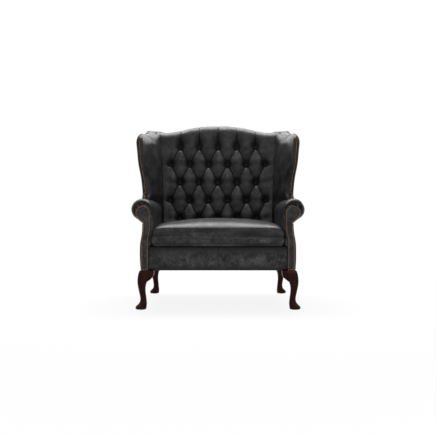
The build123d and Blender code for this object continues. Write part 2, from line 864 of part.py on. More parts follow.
with BuildPart() as inside_back:
    with BuildSketch(back_plane.offset(pad_back_t)):
        with BuildLine():
            add(pad_outline(0))
        make_face()
    extrude(amount=back_pad_thickness)
    with BuildSketch(back_plane.offset(outside_back_thickness)):
        with BuildLine():
            crest = camel_points(back_pad_top_half_width, 0)
            low = camel_points(back_pad_top_half_width, top_pad_thickness)
            Spline(crest)
            Line(crest[-1], low[-1])
            Spline(low)
            Line(low[0], crest[0])
        make_face()
    extrude(amount=pad_back_t - outside_back_thickness)
    front_top = inside_back.edges().filter_by(GeomType.BSPLINE)
    fronts = [e for e in front_top if back_plane.to_local_coords(e @ 0.5).Z > pad_front_t - 1]
    rears = [e for e in front_top if back_plane.to_local_coords(e @ 0.5).Z < outside_back_thickness + 1]
    rears = [e for e in rears if back_plane.to_local_coords(e @ 0.5).Y > crest_h - 1]
    fillet(fronts, top_roll_front_round)
    fillet(rears, top_roll_back_round)
    with Locations([back_plane.offset(button_t) * Location((x, h, 0)) for row, x, h in button_spots]):
        Cone(
            button_radius + fit_gap,
            dimple_radius + fit_gap,
            dimple_depth,
            align=(Align.CENTER, Align.CENTER, Align.MIN),
            mode=Mode.SUBTRACT,
        )
        Cylinder(
            button_stem_radius + pin_gap,
            button_stem_length + pin_gap,
            align=(Align.CENTER, Align.CENTER, Align.MAX),
            mode=Mode.SUBTRACT,
        )
    add([pleat(start, end) for start, end in pleat_pairs()], mode=Mode.SUBTRACT)
save(inside_back, "inside_back")

button_ball_radius = (button_radius**2 + button_dome**2) / button_dome / 2
with BuildPart() as one_button:
    Cylinder(button_radius, button_dome, align=(Align.CENTER, Align.CENTER, Align.MIN))
    with Locations((0, 0, button_dome - button_ball_radius)):
        Sphere(button_ball_radius, mode=Mode.INTERSECT)
    Cylinder(button_stem_radius, button_stem_length, align=(Align.CENTER, Align.CENTER, Align.MAX))
with BuildPart() as back_buttons:
    with Locations([back_plane.offset(button_t) * Location((x, h, 0)) for row, x, h in button_spots]):
        add(one_button.part)
save(back_buttons, "back_buttons")

# Wings: the right one is cut from a side outline, between its outside face and the sitter's side
wing_top_reach = wing_corner_reach + wing_inner_round


def wing_edge(inset):
    """The wing's front and top edges, Y against Z, from the arm up and back, drawn in by an inset."""
    foot, waist = front_y + wing_foot_reach + inset, front_y + wing_waist_reach + inset
    lobe, corner = front_y + wing_lobe_reach + inset, front_y + wing_corner_reach - wing_outer_round + inset
    cusp = (front_y + wing_cusp_reach, wing_cusp_height - inset)
    shelf = (raked_y(wing_rear_height, wing_shelf), wing_rear_height - inset)
    nose_z = wing_corner_height - 3 * wing_outer_round
    tip = (front_y + wing_corner_reach + inset * 0.7, wing_corner_height - inset * 0.7)
    brow = (front_y + wing_top_reach, wing_corner_height + wing_outer_round - inset)
    with BuildLine() as line:
        sway((foot, wing_foot_height), (waist, wing_waist_height - wing_inner_round))
        Line((waist, wing_waist_height - wing_inner_round), (waist, wing_waist_height + wing_inner_round))
        sway((waist, wing_waist_height + wing_inner_round), (lobe, wing_lobe_height))
        Line((lobe, wing_lobe_height), (corner, nose_z))
        ThreePointArc((corner, nose_z), tip, brow)
        crest_middle = ((brow[0] + cusp[0]) / 2, (brow[1] + cusp[1]) / 2 + wing_lobe_bulge)
        ThreePointArc(brow, crest_middle, cusp)
        sweep_middle = ((cusp[0] + shelf[0]) / 2, (cusp[1] + shelf[1]) / 2 - wing_rear_sag)
        ThreePointArc(cusp, sweep_middle, shelf)
        Line(shelf, (raked_y(wing_rear_height, 0), wing_rear_height - inset))
    return line.line


def wing_outline(inset):
    """Side outline of a wing, closed behind and below."""
    foot, top_y = front_y + wing_foot_reach + inset, raked_y(wing_rear_height, 0)
    rear_y, top_z = top_y + overrun, wing_rear_height - inset
    with BuildLine() as line:
        add(wing_edge(inset))
        Line((foot, wing_foot_height), (foot, wing_root_height))
        Polyline((foot, wing_root_height), (rear_y, wing_root_height), (rear_y, top_z), (top_y, top_z))
    return line.line


with BuildPart() as roll_bar:
    with BuildSketch(Plane.XZ.offset(-front_y)):
        add(roll_face(0))
    extrude(amount=-far)

with BuildPart() as sitter_side:
    inner_origin = (wing_inner_x(front_y, arm_height), front_y, arm_height)
    inner_normal = Vector(1, wing_pad_slope, -wing_pad_lean)
    with Locations(Plane(origin=inner_origin, z_dir=inner_normal)):
        Box(far, far, far, align=(Align.CENTER, Align.CENTER, Align.MAX))


def wing_part(near, deep, inset):
    """Part of the right wing between two depths inside its outside face."""
    with BuildPart() as piece:
        with BuildSketch(Plane.YZ.offset(inside_arm_half_width - leg_block)):
            with BuildLine():
                add(wing_outline(inset))
            make_face()
        extrude(amount=4 * leg_block)
        with Locations(wing_plane(near)):
            Box(far, far, deep - near, align=(Align.CENTER, Align.CENTER, Align.MAX), mode=Mode.INTERSECT)
        add(behind_frame.part, mode=Mode.SUBTRACT)
    return piece.part


def wing_rim(piece, way):
    """The front and top edges of the face of a wing piece that looks along a direction."""
    face = piece.faces().sort_by(lambda f: f.normal_at().dot(way))[-1]
    edges = [edge for edge in face.edges() if (edge @ 0.5).Z > wing_foot_height - pick_margin]
    depth = outside_back_thickness + pick_margin
    return [edge for edge in edges if (edge @ 0.5).Y < raked_y((edge @ 0.5).Z, depth)]


board_deep = wing_panel_thickness + wing_board_thickness
wing_board_part = wing_part(wing_panel_thickness, board_deep, wing_board_inset)
with BuildPart() as wing_board:
    add(wing_board_part)
    add(roll_bar.part, mode=Mode.SUBTRACT)
    add(sitter_side.part, mode=Mode.SUBTRACT)
save_pair(wing_board, "wing_board")

with BuildPart() as outside_wing:
    add(wing_part(0, wing_panel_thickness, 0))
    fillet(wing_rim(outside_wing, outer_wing_slope), wing_outer_round)
    add(roll_bar.part, mode=Mode.SUBTRACT)
save_pair(outside_wing, "outside_wing")

with BuildPart() as inside_wing:
    add(wing_part(wing_panel_thickness, 3 * leg_block, 0))
    add(sitter_side.part, mode=Mode.SUBTRACT)
    fillet(wing_rim(inside_wing, inner_normal.normalized() * -1), wing_pad_round)
    add(roll_bar.part, mode=Mode.SUBTRACT)
    add(wing_board.part, mode=Mode.SUBTRACT)
    add(back_post.part, mode=Mode.SUBTRACT)
    add(back_webbing.part, mode=Mode.SUBTRACT)
    with BuildSketch(back_plane.offset(outside_back_thickness)):
        with BuildLine():
            add(pad_outline(0))
        make_face()
    extrude(amount=pad_front_t - outside_back_thickness, mode=Mode.SUBTRACT)

# Nails along the front and top edges of each wing, their heads pressed a little into the leather


def wing_nail_plane(point, tangent):
    """Where one wing nail sits: Y and Z from the side outline, X from the wing's outside face."""
    x = wing_outer_x(point.X, point.Y) - wing_nail_inset
    out = Vector(0, -tangent.Y, tangent.X)
    return Plane(origin=Vector(x, point.X, point.Y) - out * wing_nail_press, x_dir=(1, 0, 0), z_dir=out)


edge_wire = Wire(wing_edge(0).edges())
if (edge_wire @ 0).Y > (edge_wire @ 1).Y:
    edge_wire = Wire(edge_wire.edges()[::-1])
wing_nail_steps = round(edge_wire.length / nail_pitch)
wing_nail_planes = []
for step in range(1, wing_nail_steps - 1):
    share = step / wing_nail_steps
    spot, way = edge_wire @ share, edge_wire % share
    if abs(spot.X - front_y - wing_cusp_reach) > cusp_nail_gap:
        wing_nail_planes.append(wing_nail_plane(spot, way if way.Y + way.X > 0 else way * -1))

with BuildPart() as wing_nails:
    add([nail(plane) for plane in wing_nail_planes])
save_pair(wing_nails, "wing_nails")

with BuildPart() as nailed_wing:
    add(inside_wing.part)
    add(wing_nails.part, mode=Mode.SUBTRACT)
save_pair(nailed_wing, "inside_wing")

# Outside back
with BuildPart() as outside_back:
    with BuildSketch(back_plane):
        with BuildLine():
            reveal = outside_back_thickness / 4
            crest = camel_points(camel_half_width, top_roll_back_round)
            shoulder_x = wing_outer_x(raked_y(wing_rear_height, 0), wing_rear_height) - reveal
            root_x = wing_outer_x(raked_y(arm_height, 0), arm_height) - reveal
            right = [
                (shoulder_x, slope_length(wing_rear_height - reveal, 0)),
                (root_x, slope_length(arm_height, 0)),
                (neck_half_width, slope_length(neck_height, 0)),
                (neck_half_width, 0),
            ]
            Spline(crest)
            Polyline(crest[-1], *right)
            Polyline(crest[0], *[(-x, h) for x, h in right])
            Line(right[-1], (-right[-1][0], 0))
        make_face()
        with Locations((0, 0)):
            Rectangle(2 * neck_half_width, leg_block, align=(Align.CENTER, Align.MAX))
    extrude(amount=outside_back_thickness)
    add(below_covers.part, mode=Mode.SUBTRACT)
save(outside_back, "outside_back")

# Seat cushion: rounded sections from front to back make a crowned block, cut to the slope of the back
def cushion_section(y, inset, crown_share, drop_share):
    """One section of the cushion across the chair."""
    half = cushion_half_width - inset
    low = seat_deck_height + fit_gap + inset
    side_top = seat_deck_height + cushion_side_height - inset - drop_share * cushion_crown
    crown = crown_share * cushion_crown
    corner = cushion_corner_round - inset
    bite = corner * (1 - math.sqrt(0.5))
    with BuildSketch(Plane.XZ.offset(-y)) as section:
        with BuildLine():
            Line((-half + corner, low), (half - corner, low))
            ThreePointArc((half - corner, low), (half - bite, low + bite), (half, low + corner))
            Line((half, low + corner), (half, side_top - corner))
            shoulder = (half - 5 * corner, side_top + crown * 0.56)
            Bezier((half, side_top - corner), (half, side_top + crown * 0.28), shoulder)
            ThreePointArc(shoulder, (0, side_top + crown), (-shoulder[0], shoulder[1]))
            Bezier((-shoulder[0], shoulder[1]), (-half, side_top + crown * 0.28), (-half, side_top - corner))
            Line((-half, side_top - corner), (-half, low + corner))
            ThreePointArc((-half, low + corner), (bite - half, low + bite), (-half + corner, low))
        make_face()
    return section.sketch


cushion_front_y = front_y + cushion_setback
cushion_depth = raked_y(seat_deck_height, pad_front_t) - cushion_front_y
cushion_shares = (
    (0, 0.02, 0.3),
    (0.04, 0.16, 0.05),
    (0.13, 0.58, 0),
    (0.28, 0.9, 0),
    (0.46, 1, 0),
    (0.64, 0.96, 0),
    (0.82, 0.84, 0),
    (1, 0.66, 0),
    (1.18, 0.5, 0),
)


def cushion_form(inset):
    """The cushion's solid, drawn in by an inset all round."""
    with BuildPart() as form:
        sections = []
        for place, crown_share, drop_share in cushion_shares:
            y = cushion_front_y + inset + place * cushion_depth
            sections.append(cushion_section(y, inset, crown_share, drop_share))
        loft(sections)
        with Locations(back_plane.offset(pad_front_t + cushion_back_gap + inset)):
            Box(far, far, far, align=(Align.CENTER, Align.CENTER, Align.MAX), mode=Mode.SUBTRACT)
    return form.part


with BuildPart() as seat_cushion_cover:
    add(cushion_form(0))
    add(cushion_form(cushion_leather), mode=Mode.SUBTRACT)
save(seat_cushion_cover, "seat_cushion_cover")

with BuildPart() as seat_cushion_foam:
    add(cushion_form(cushion_leather + fit_gap))
save(seat_cushion_foam, "seat_cushion_foam")
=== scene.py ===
# %% [markdown]
# # A buttoned leather cuddle chair
# This is a one-and-a-half-seat wing chair in black waxed leather: a deep-buttoned camel back, two wings,
# scroll arms with nailed facings, one loose seat cushion and four mahogany cabriole legs. The CAD model
# gives each piece its place and size. The hard pieces could be modelled again here, but their CAD shape is
# already right, so they only get a finish. Each padded piece is rebuilt as upholstery. All lengths are in
# metres, with +X across the chair, +Y to its back and +Z up.

import bpy
import json
import math
import numpy as np
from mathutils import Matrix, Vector
from mathutils.bvhtree import BVHTree


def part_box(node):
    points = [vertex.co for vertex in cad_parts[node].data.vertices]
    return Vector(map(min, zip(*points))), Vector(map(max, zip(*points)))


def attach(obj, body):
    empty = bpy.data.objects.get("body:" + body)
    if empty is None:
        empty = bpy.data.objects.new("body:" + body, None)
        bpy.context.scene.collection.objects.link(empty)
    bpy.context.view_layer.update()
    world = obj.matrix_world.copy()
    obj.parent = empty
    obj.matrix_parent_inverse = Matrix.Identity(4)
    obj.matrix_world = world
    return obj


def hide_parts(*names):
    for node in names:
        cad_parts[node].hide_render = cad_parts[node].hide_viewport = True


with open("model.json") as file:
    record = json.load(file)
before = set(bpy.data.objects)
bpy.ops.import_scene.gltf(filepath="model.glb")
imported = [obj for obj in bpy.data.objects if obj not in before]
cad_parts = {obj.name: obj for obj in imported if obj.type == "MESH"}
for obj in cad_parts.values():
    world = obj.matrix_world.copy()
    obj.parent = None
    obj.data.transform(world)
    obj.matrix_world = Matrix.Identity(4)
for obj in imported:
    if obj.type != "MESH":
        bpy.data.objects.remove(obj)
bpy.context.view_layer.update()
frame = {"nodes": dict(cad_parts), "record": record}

# %% [markdown]
# ## Shader arithmetic
# A finish is a sum of patterns: grain, patches, wear. The sum could be built from Math nodes one by one,
# but that hides the idea. So one small class lets a pattern be added and multiplied like a number, and each
# operation adds its own node. All nodes come from one method, which sets a node's settings before its
# sockets.

# %% Patterns that can be added and multiplied


class Pattern:
    """One output of a shader node. Arithmetic on it adds Math nodes to the same tree."""

    def __init__(self, shading, socket):
        self.shading, self.socket = shading, socket

    def math(self, operation, other):
        return self.shading.node("Math", {"operation": operation}, {0: self, 1: other})

    def __add__(self, other):
        return self.math("ADD", other)

    def __sub__(self, other):
        return self.math("SUBTRACT", other)

    def __rsub__(self, other):
        return (self * -1) + other

    def __mul__(self, other):
        return self.math("MULTIPLY", other)

    __radd__, __rmul__ = __add__, __mul__

    def between(self, low, high):
        """0 at low and below, 1 at high and above, smooth in between."""
        sockets = {"Value": self, "From Min": low, "From Max": high}
        return self.shading.node("MapRange", {"interpolation_type": "SMOOTHSTEP"}, sockets, "Result")


print("patterns add, subtract and multiply")

# %% Node trees


class Shading:
    """The node tree of a material or of the world, with the one way to add a node to it."""

    def __init__(self, tree):
        self.tree = tree

    def join(self, value, socket):
        """Plugs a pattern into a socket, or writes a plain value on it."""
        if isinstance(value, Pattern):
            self.tree.links.new(value.socket, socket)
        else:
            socket.default_value = value

    def node(self, kind, settings=None, sockets=None, out=0):
        """Adds a node: its settings first, then its sockets, by name or number. Returns one output."""
        made = self.tree.nodes.new("ShaderNode" + kind)
        for name, value in (settings or {}).items():
            setattr(made, name, value)
        for place, value in (sockets or {}).items():
            self.join(value, made.inputs[place])
        return Pattern(self, made.outputs[out])

    def blend(self, amount, low, high):
        """A colour between two, by an amount."""
        low, high = (colour if isinstance(colour, Pattern) else (*colour, 1.0) for colour in (low, high))
        first_colour, second_colour, mixed_colour = 6, 7, 2
        sockets = {"Factor": amount, first_colour: low, second_colour: high}
        return self.node("Mix", {"data_type": "RGBA"}, sockets, mixed_colour)

    def seen_directly(self):
        """1 for what the camera sees straight or in a reflection, 0 for light on its way to other things."""
        return self.node("LightPath", out="Is Camera Ray") + self.node("LightPath", out="Is Glossy Ray")


print("one method adds every node")

# %% A finish


class Finish(Shading):
    """A material with one Principled shader, and short ways to add patterns to it."""

    def __init__(self, name, **plain):
        self.material = bpy.data.materials.new(name)
        self.material.use_nodes = True
        super().__init__(self.material.node_tree)
        self.shader = self.tree.nodes["Principled BSDF"]
        self.set(**plain)

    def set(self, **values):
        """Plugs in or writes values on the shader's sockets: Base_Color is the socket Base Color."""
        for name, value in values.items():
            self.join(value, self.shader.inputs[name.replace("_", " ")])

    def place(self, stretch=(1, 1, 1), shift=(0, 0, 0)):
        """Where a point is on the object, in metres, stretched and shifted."""
        spot = self.node("TexCoord", out="Object")
        return self.node("Mapping", None, {"Vector": spot, "Scale": stretch, "Location": shift})

    def clouds(self, scale, detail=3.0, roughness=0.55, where=None, distortion=0.0):
        """Soft noise from 0 to 1."""
        sockets = {"Vector": where or self.place(), "Scale": scale, "Detail": detail}
        sockets.update({"Roughness": roughness, "Distortion": distortion})
        return self.node("TexNoise", None, sockets)

    def cells(self, scale, where=None, feature="F1"):
        """Rounded cells: 0 in the middle of each."""
        sockets = {"Vector": where or self.place(), "Scale": scale}
        return self.node("TexVoronoi", {"feature": feature}, sockets)

    def relief(self, height, depth, strength):
        """Bumps of a depth in metres, from a pattern that runs from 0 to 1."""
        self.set(Normal=self.node("Bump", None, {"Height": height, "Distance": depth, "Strength": strength}))


print("finishes are ready to be mixed")

# %% [markdown]
# ## Black waxed leather
# The hide is near black, rubbed to a soft grey in clouds a few centimetres wide, because wax gathers
# unevenly on it. It could be one grey with a noise bump. Here the patches come from two sizes of noise, and
# a number stored on each padded piece paints light and shade into the colour: it darkens the bottoms of its
# folds, seams and pits to near black as painted shade, and dulls them, and it lightens the grey on crowns,
# edges and bands as painted highlights. The pebble grain is about 2 mm wide and very shallow: a
# deeper one sparkles on the rolls. Four hides have their pattern shifted, so that two pieces side by side
# don't match.

# %% Leather
# The first colour is painted shade, the near black of fold bottoms, seams and pits; the others are the hide's
# own tone and its rubbed grey.
fold_shade_black, wax_dark, wax_grey = (0.003, 0.003, 0.003), (0.0115, 0.0112, 0.0118), (0.108, 0.106, 0.109)
hide_sheen, dull_in_folds, pebbles_a_metre = 0.37, 0.25, 430


def black_leather(name, shift):
    """Waxed black hide; shift moves the pattern so that two pieces don't match."""
    hide = Finish(name, IOR=1.45, Specular_IOR_Level=0.2)
    where = hide.place(shift=shift)
    patches = hide.clouds(14, 4, 0.6, where, 0.4).between(0.35, 0.72)
    flecks = hide.clouds(55, 5, 0.7, where, 0.8).between(0.4, 0.75)
    grain = hide.cells(pebbles_a_metre, where, "SMOOTH_F1")
    creases = hide.clouds(150, 3, 0.6, where, 1.2)
    # The stored crest number paints light and shade: near 0 the hide goes near black, as painted shade; above
    # 1 the grey grows lighter, as painted highlight.
    height = hide.node("Attribute", {"attribute_name": "crest"}, out="Fac")
    lightened = (patches * 0.45 + flecks * 0.55) * (height * 0.375 + 0.125)
    worn_and_lit_grey = hide.blend(lightened, wax_dark, wax_grey)
    low_place = (1.0 - height).math("MAXIMUM", 0.0)
    hide.set(Base_Color=hide.blend(height.between(-0.2, 0.7), fold_shade_black, worn_and_lit_grey))
    hide.set(Roughness=hide_sheen - patches * 0.05 + flecks * 0.08 + low_place * dull_in_folds)
    hide.relief(grain * 0.6 + creases * 0.8 + flecks * 0.5, 0.0005, 0.25)
    return hide.material


leathers = [black_leather(f"black_leather_{n}", (n * 0.37, n * 0.23, n * 0.61)) for n in range(4)]
print(len(leathers), "hides")

# %% [markdown]
# ## Mahogany
# The legs are stained nearly black-brown and polished. A clear coat over a brown base would do, but at this
# size it only adds a second highlight, so one dark red base with a low, fairly sharp sheen is enough. The
# streaks run along the leg, because the noise is stretched along Z.

# %% The legs' wood


def mahogany():
    wood = Finish("mahogany", Specular_IOR_Level=0.09, Roughness=0.25)
    streaks = wood.clouds(9, 5, 0.6, wood.place((9, 9, 1.6)), 1.5).between(0.35, 0.7)
    pores = wood.clouds(120, 2, 0.5, wood.place((4, 4, 0.35)))
    wood.set(Base_Color=wood.blend(streaks, (0.012, 0.0013, 0.0007), (0.048, 0.0055, 0.0028)))
    wood.set(Roughness=0.24 + pores * 0.06)
    wood.relief(pores, 0.0002, 0.1)
    return wood.material


finishes = {"black_leather": leathers[0], "mahogany": mahogany()}
print("mahogany mixed")

# %% [markdown]
# ## Antiqued brass
# The nail heads are brass that was darkened and rubbed again: copper bright on the crown, nearly black
# round the rim. The bright crown is partly that rubbing and partly a painted highlight of the dome, and the
# black rim partly painted shade. One metal colour would make each row a solid stripe from a step away. The
# number stored on each head's points says how far up the dome they are, and the colour follows it.

# %% The nails' metal


def antique_brass():
    metal = Finish("antique_brass", Metallic=1.0)
    tarnish = metal.clouds(240, 3, 0.6).between(0.35, 0.65)
    # The crown is bright and the rim near black: partly rubbed brass, partly a painted highlight and painted
    # shade on the dome.
    crown = metal.node("Attribute", {"attribute_name": "crown"}, out="Fac").between(0.72, 1.0)
    lightened = crown * (tarnish * 0.4 + 0.6)
    metal.set(Base_Color=metal.blend(lightened, (0.010, 0.007, 0.006), (1.0, 0.58, 0.36)))
    metal.set(Roughness=0.5 + tarnish * 0.14)
    metal.relief(metal.clouds(900, 2), 0.0002, 0.4)
    return metal.material


finishes["antique_brass"] = antique_brass()
print("brass mixed")

# %% [markdown]
# ## What is hidden
# Frame timber, springs, jute, foam and cloth are inside the chair or under it. They could stay grey, but
# whoever lifts the cushion or the dust cover sees them, so each keeps an honest, simple finish. Cloth is
# two sets of bands across each other, for the two sets of threads.

# %% Timber, steel and foam


def frame_timber():
    wood = Finish("frame_timber")
    lines = wood.clouds(14, 4, 0.6, wood.place((6, 1, 6)), 1.2).between(0.3, 0.7)
    wood.set(Base_Color=wood.blend(lines, (0.42, 0.27, 0.14), (0.62, 0.45, 0.27)))
    wood.set(Roughness=0.55 + lines * 0.15)
    wood.relief(lines, 0.0004, 0.4)
    return wood.material


def steel():
    metal = Finish("steel", Metallic=1.0)
    haze = metal.clouds(90, 3)
    metal.set(Base_Color=metal.blend(haze, (0.34, 0.34, 0.35), (0.55, 0.55, 0.56)))
    metal.set(Roughness=0.3 + haze * 0.2)
    return metal.material


def foam():
    block = Finish("foam")
    pores = block.cells(600)
    block.set(Base_Color=block.blend(pores, (0.5, 0.45, 0.3), (0.75, 0.7, 0.52)))
    block.set(Roughness=0.9 - pores * 0.1)
    block.relief(pores, 0.0006, 0.5)
    return block.material


finishes.update({"frame_timber": frame_timber(), "steel": steel(), "foam": foam()})
print("timber, steel and foam mixed")

# %% Woven cloth
repeat_at_scale_one = 0.314


def woven(name, dark, light, pitch):
    """Plain-weave cloth: two sets of threads across each other, a pitch apart."""
    cloth = Finish(name)
    sockets = {"Vector": cloth.place(), "Scale": repeat_at_scale_one / pitch}
    sockets.update({"Distortion": 1.5, "Detail": 1.0})
    warp, weft = (
        cloth.node("TexWave", {"wave_type": "BANDS", "bands_direction": way}, sockets) for way in ("X", "Y")
    )
    weave = warp * 0.5 + weft * 0.5
    slub = cloth.clouds(70, 3)
    cloth.set(Base_Color=cloth.blend(weave * 0.6 + slub * 0.4, dark, light), Roughness=0.75 + slub * 0.2)
    cloth.relief(weave, 0.0004, 0.5)
    return cloth.material


finishes["jute"] = woven("jute", (0.2, 0.14, 0.08), (0.45, 0.34, 0.2), 0.003)
finishes["black_cloth"] = woven("black_cloth", (0.01, 0.01, 0.01), (0.035, 0.035, 0.036), 0.0012)
print("jute and black cloth mixed")

# %% Each CAD piece gets its finish
pieces_of = {name: 0 for name in finishes}
for part in frame["record"]["subparts"]:
    node, name = frame["nodes"][part["node"]], part["material_slot"]
    node.data.materials.clear()
    node.data.materials.append(finishes[name])
    pieces_of[name] += 1
print("pieces of each finish", pieces_of)

# %% [markdown]
# ## Working stuffed shapes
# Each stuffed piece starts from its CAD solid. The solid's surface is laid out again as small even quads,
# its edges are relaxed as a stuffed edge is, and then each point is pushed by a rule of where it is: a
# pleat, a seam, a bulge, a wrinkle. It could be sculpted by hand or blown up as cloth, but a rule can be
# read, changed by one number, and gives the same shape at every run.

# %% Curves for the rules


def ramp(value, start, end):
    """0 before start, 1 beyond end and straight in between. The end may lie on either side of the start."""
    return np.clip((value - start) / (end - start), 0, 1)


def bell(distance, width):
    """1 at no distance, falling away smoothly over a width."""
    return np.exp(-((distance / width) ** 2))


def groove(distance, width, depth):
    """How far a narrow groove pulls a point in, by its distance from the groove."""
    return -depth * bell(distance, width)


def round_off(share):
    """How deep a quarter round is: 0 where it starts and 1 at its edge."""
    return 1 - np.sqrt(1 - share ** 2)


def smooth_noise(points, wavelength, seed, waves=14):
    """A smooth random value from about -1 to 1 at each point, with bumps a wavelength apart."""
    rng = np.random.default_rng(seed)
    total = np.zeros(len(points))
    for _ in range(waves):
        way = rng.normal(size=3)
        way *= 2 * math.pi / wavelength / np.linalg.norm(way) * rng.uniform(0.6, 1.3)
        total += np.sin(points @ way + rng.uniform(0, 2 * math.pi))
    return total / math.sqrt(waves)


print("half way up a ramp", ramp(0.5, 0, 1), "and down a bell", bell(0.5, 1).round(2))

# %% Reading and moving points


def corners(mesh):
    """All points of a mesh, one a row."""
    points = np.empty(len(mesh.vertices) * 3)
    mesh.vertices.foreach_get("co", points)
    return points.reshape(-1, 3)


def normals(mesh):
    """The outward way at each point."""
    ways = np.empty(len(mesh.vertices) * 3)
    mesh.vertices.foreach_get("normal", ways)
    return ways.reshape(-1, 3)


def put(mesh, points):
    """Moves the points of a mesh to new places."""
    mesh.vertices.foreach_set("co", np.ascontiguousarray(points).ravel())
    mesh.update()


def box_of(node):
    """Low and high corner of a CAD node."""
    return [np.array(corner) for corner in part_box(node)]


def fit(mesh, low, high):
    """Stretches a mesh until it fills a box."""
    points = corners(mesh)
    small, large = points.min(0), points.max(0)
    put(mesh, low + (points - small) / (large - small) * (high - low))


print("the cushion's cover runs from", *(corner.round(3) for corner in box_of("seat_cushion_cover")))

# %% Relaxing and softening


def ends_of_edges(mesh):
    """The two points of each edge."""
    edges = np.empty(len(mesh.edges) * 2, dtype=int)
    mesh.edges.foreach_get("vertices", edges)
    return edges.reshape(-1, 2).T


def neighbour_pull(mesh):
    """A function that gives the way from each point to the middle of its neighbours."""
    a, b = ends_of_edges(mesh)
    count = np.bincount(np.concatenate([a, b]), minlength=len(mesh.vertices))[:, None]

    def pull(points):
        total = np.zeros_like(points)
        np.add.at(total, a, points[b])
        np.add.at(total, b, points[a])
        return total / count - points

    return pull


def relax(mesh, times, share=0.5, put_back=0.92):
    """Moves each point towards the middle of its neighbours, and mostly back out, so volume stays."""
    pull, points = neighbour_pull(mesh), corners(mesh)
    for _ in range(times):
        points += pull(points) * share
        points -= pull(points) * share * put_back
    put(mesh, points)


def soften(mesh, mask, times, share=0.5):
    """Rounds the shape off where the mask is 1, without putting volume back."""
    pull, points = neighbour_pull(mesh), corners(mesh)
    for _ in range(times):
        points += pull(points) * share * mask[:, None]
    put(mesh, points)


print("relaxing keeps volume, softening doesn't")

# %% New objects and their hide


def new_object(name, data):
    """A new object in the scene."""
    made = bpy.data.objects.new(name, data)
    bpy.context.collection.objects.link(made)
    return made


def dress(mesh, material, name, values):
    """Smooths a mesh, gives it a material and stores a named number on each of its points."""
    mesh.attributes.new(name, "FLOAT", "POINT").data.foreach_set("value", values.astype(np.float32))
    mesh.materials.clear()
    mesh.materials.append(material)
    mesh.polygons.foreach_set("use_smooth", [True] * len(mesh.polygons))


def finish_piece(piece, name, hide, body, nodes, crest=None):
    """Names a stuffed piece, gives it its hide and body, and hides the CAD nodes it stands for."""
    piece.name = piece.data.name = name
    dress(piece.data, hide, "crest", np.ones(len(piece.data.vertices)) if crest is None else crest)
    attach(piece, body)
    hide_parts(*nodes)
    print(name, len(piece.data.vertices), "points")


print("pieces can be named and dressed")

# %% Clearing what is inside, and making a skin


def clear_of(mesh, node, gap, straight=0.8):
    """Pushes points out until they are a gap clear of a CAD solid. A point beside an edge of it is left."""
    source = frame["nodes"][node].data
    tree = BVHTree.FromPolygons([v.co for v in source.vertices], [p.vertices for p in source.polygons])
    points = corners(mesh)
    moved = 0
    for place, point in enumerate(points):
        spot, way, _, _ = tree.find_nearest(Vector(point))
        offset = Vector(point) - spot
        inside = gap - offset.dot(way)
        if inside > 0 and (offset.length < gap or offset.dot(way) < -straight * offset.length):
            points[place] += np.array(way) * inside
            moved += 1
    put(mesh, points)
    print(moved, "points pushed clear of", node)


def skin_of(node, grain, times):
    """A new object with a CAD node's shape in even quads of a grain, relaxed a number of times."""
    piece = new_object("skin", frame["nodes"][node].data.copy())
    even = piece.modifiers.new("even", "REMESH")
    even.mode, even.voxel_size = "VOXEL", grain
    made = bpy.data.meshes.new_from_object(piece.evaluated_get(bpy.context.evaluated_depsgraph_get()))
    piece.modifiers.clear()
    piece.data = made
    relax(made, times)
    fit(made, *box_of(node))
    return piece


print("skins can be made")

# %% [markdown]
# ## The chair's own measures
# The back leans about 11 degrees. Plain X, Y and Z would do for its points, but then each rule would have
# to carry the lean. So a point is given by X, by its distance up the lean and by how far it stands forward
# of the outside face. The same numbers place the buttons in the CAD model.

# %% Measures of the back
front_y, base_back_y, leg_height = -0.403, 0.258, 0.207
crest_length = 0.878
lean = math.asin(0.167 / crest_length)
pad_back, pad_front = 0.0995, 0.1715
top_row, row_pitch, button_pitch = crest_length - 0.161, 0.117, 0.121


def on_back(x, up, forward):
    """Points of the leaning back, from X, the distance up it and the distance forward of its outside face."""
    y = base_back_y + up * math.sin(lean) - forward * math.cos(lean)
    z = leg_height + up * math.cos(lean) + forward * math.sin(lean)
    return np.stack(np.broadcast_arrays(x, y, z), axis=-1)


print("a point of the crest", on_back(0.0, crest_length, pad_front).round(3))

# %% [markdown]
# ## The deep-buttoned back
# The leather is pulled into the stuffing at 27 buttons, and the fullness between them folds into diagonal
# pleats, so the surface is a lattice of soft diamonds. Above the top row the pleats run straight up over
# the roll. Modelling each diamond by hand would take long, so one height rule does it: the product of two
# sines is zero along both sets of pleats, and a small power of it makes round pillows with sharp folds.
# Each pillow rises steeply below the fold above it and falls slowly, because the stuffing sags. The folds
# and the buttons' dimples are added to it, each by its own rule. All rules count in rows of buttons and in
# half button pitches.

# %% Pillows
pillow_edge, pleat_depth, hollow_depth = 0.46, 0.0135, 0.0036
outer_button_x, over_roll = 0.3025, 0.09


def rows_down(up):
    """How many rows below the top row of buttons."""
    return (top_row - up) / row_pitch


def halves_out(x):
    """How many half button pitches away from the middle."""
    return np.abs(x) / (button_pitch / 2)


def swell(share, edge):
    """Height of a pillow across one pleat spacing: steep on the upper side, then a long fall."""
    share = np.clip(share, 0, 1)
    return np.sin(math.pi * share ** 0.66) ** (edge + 0.2 * share)


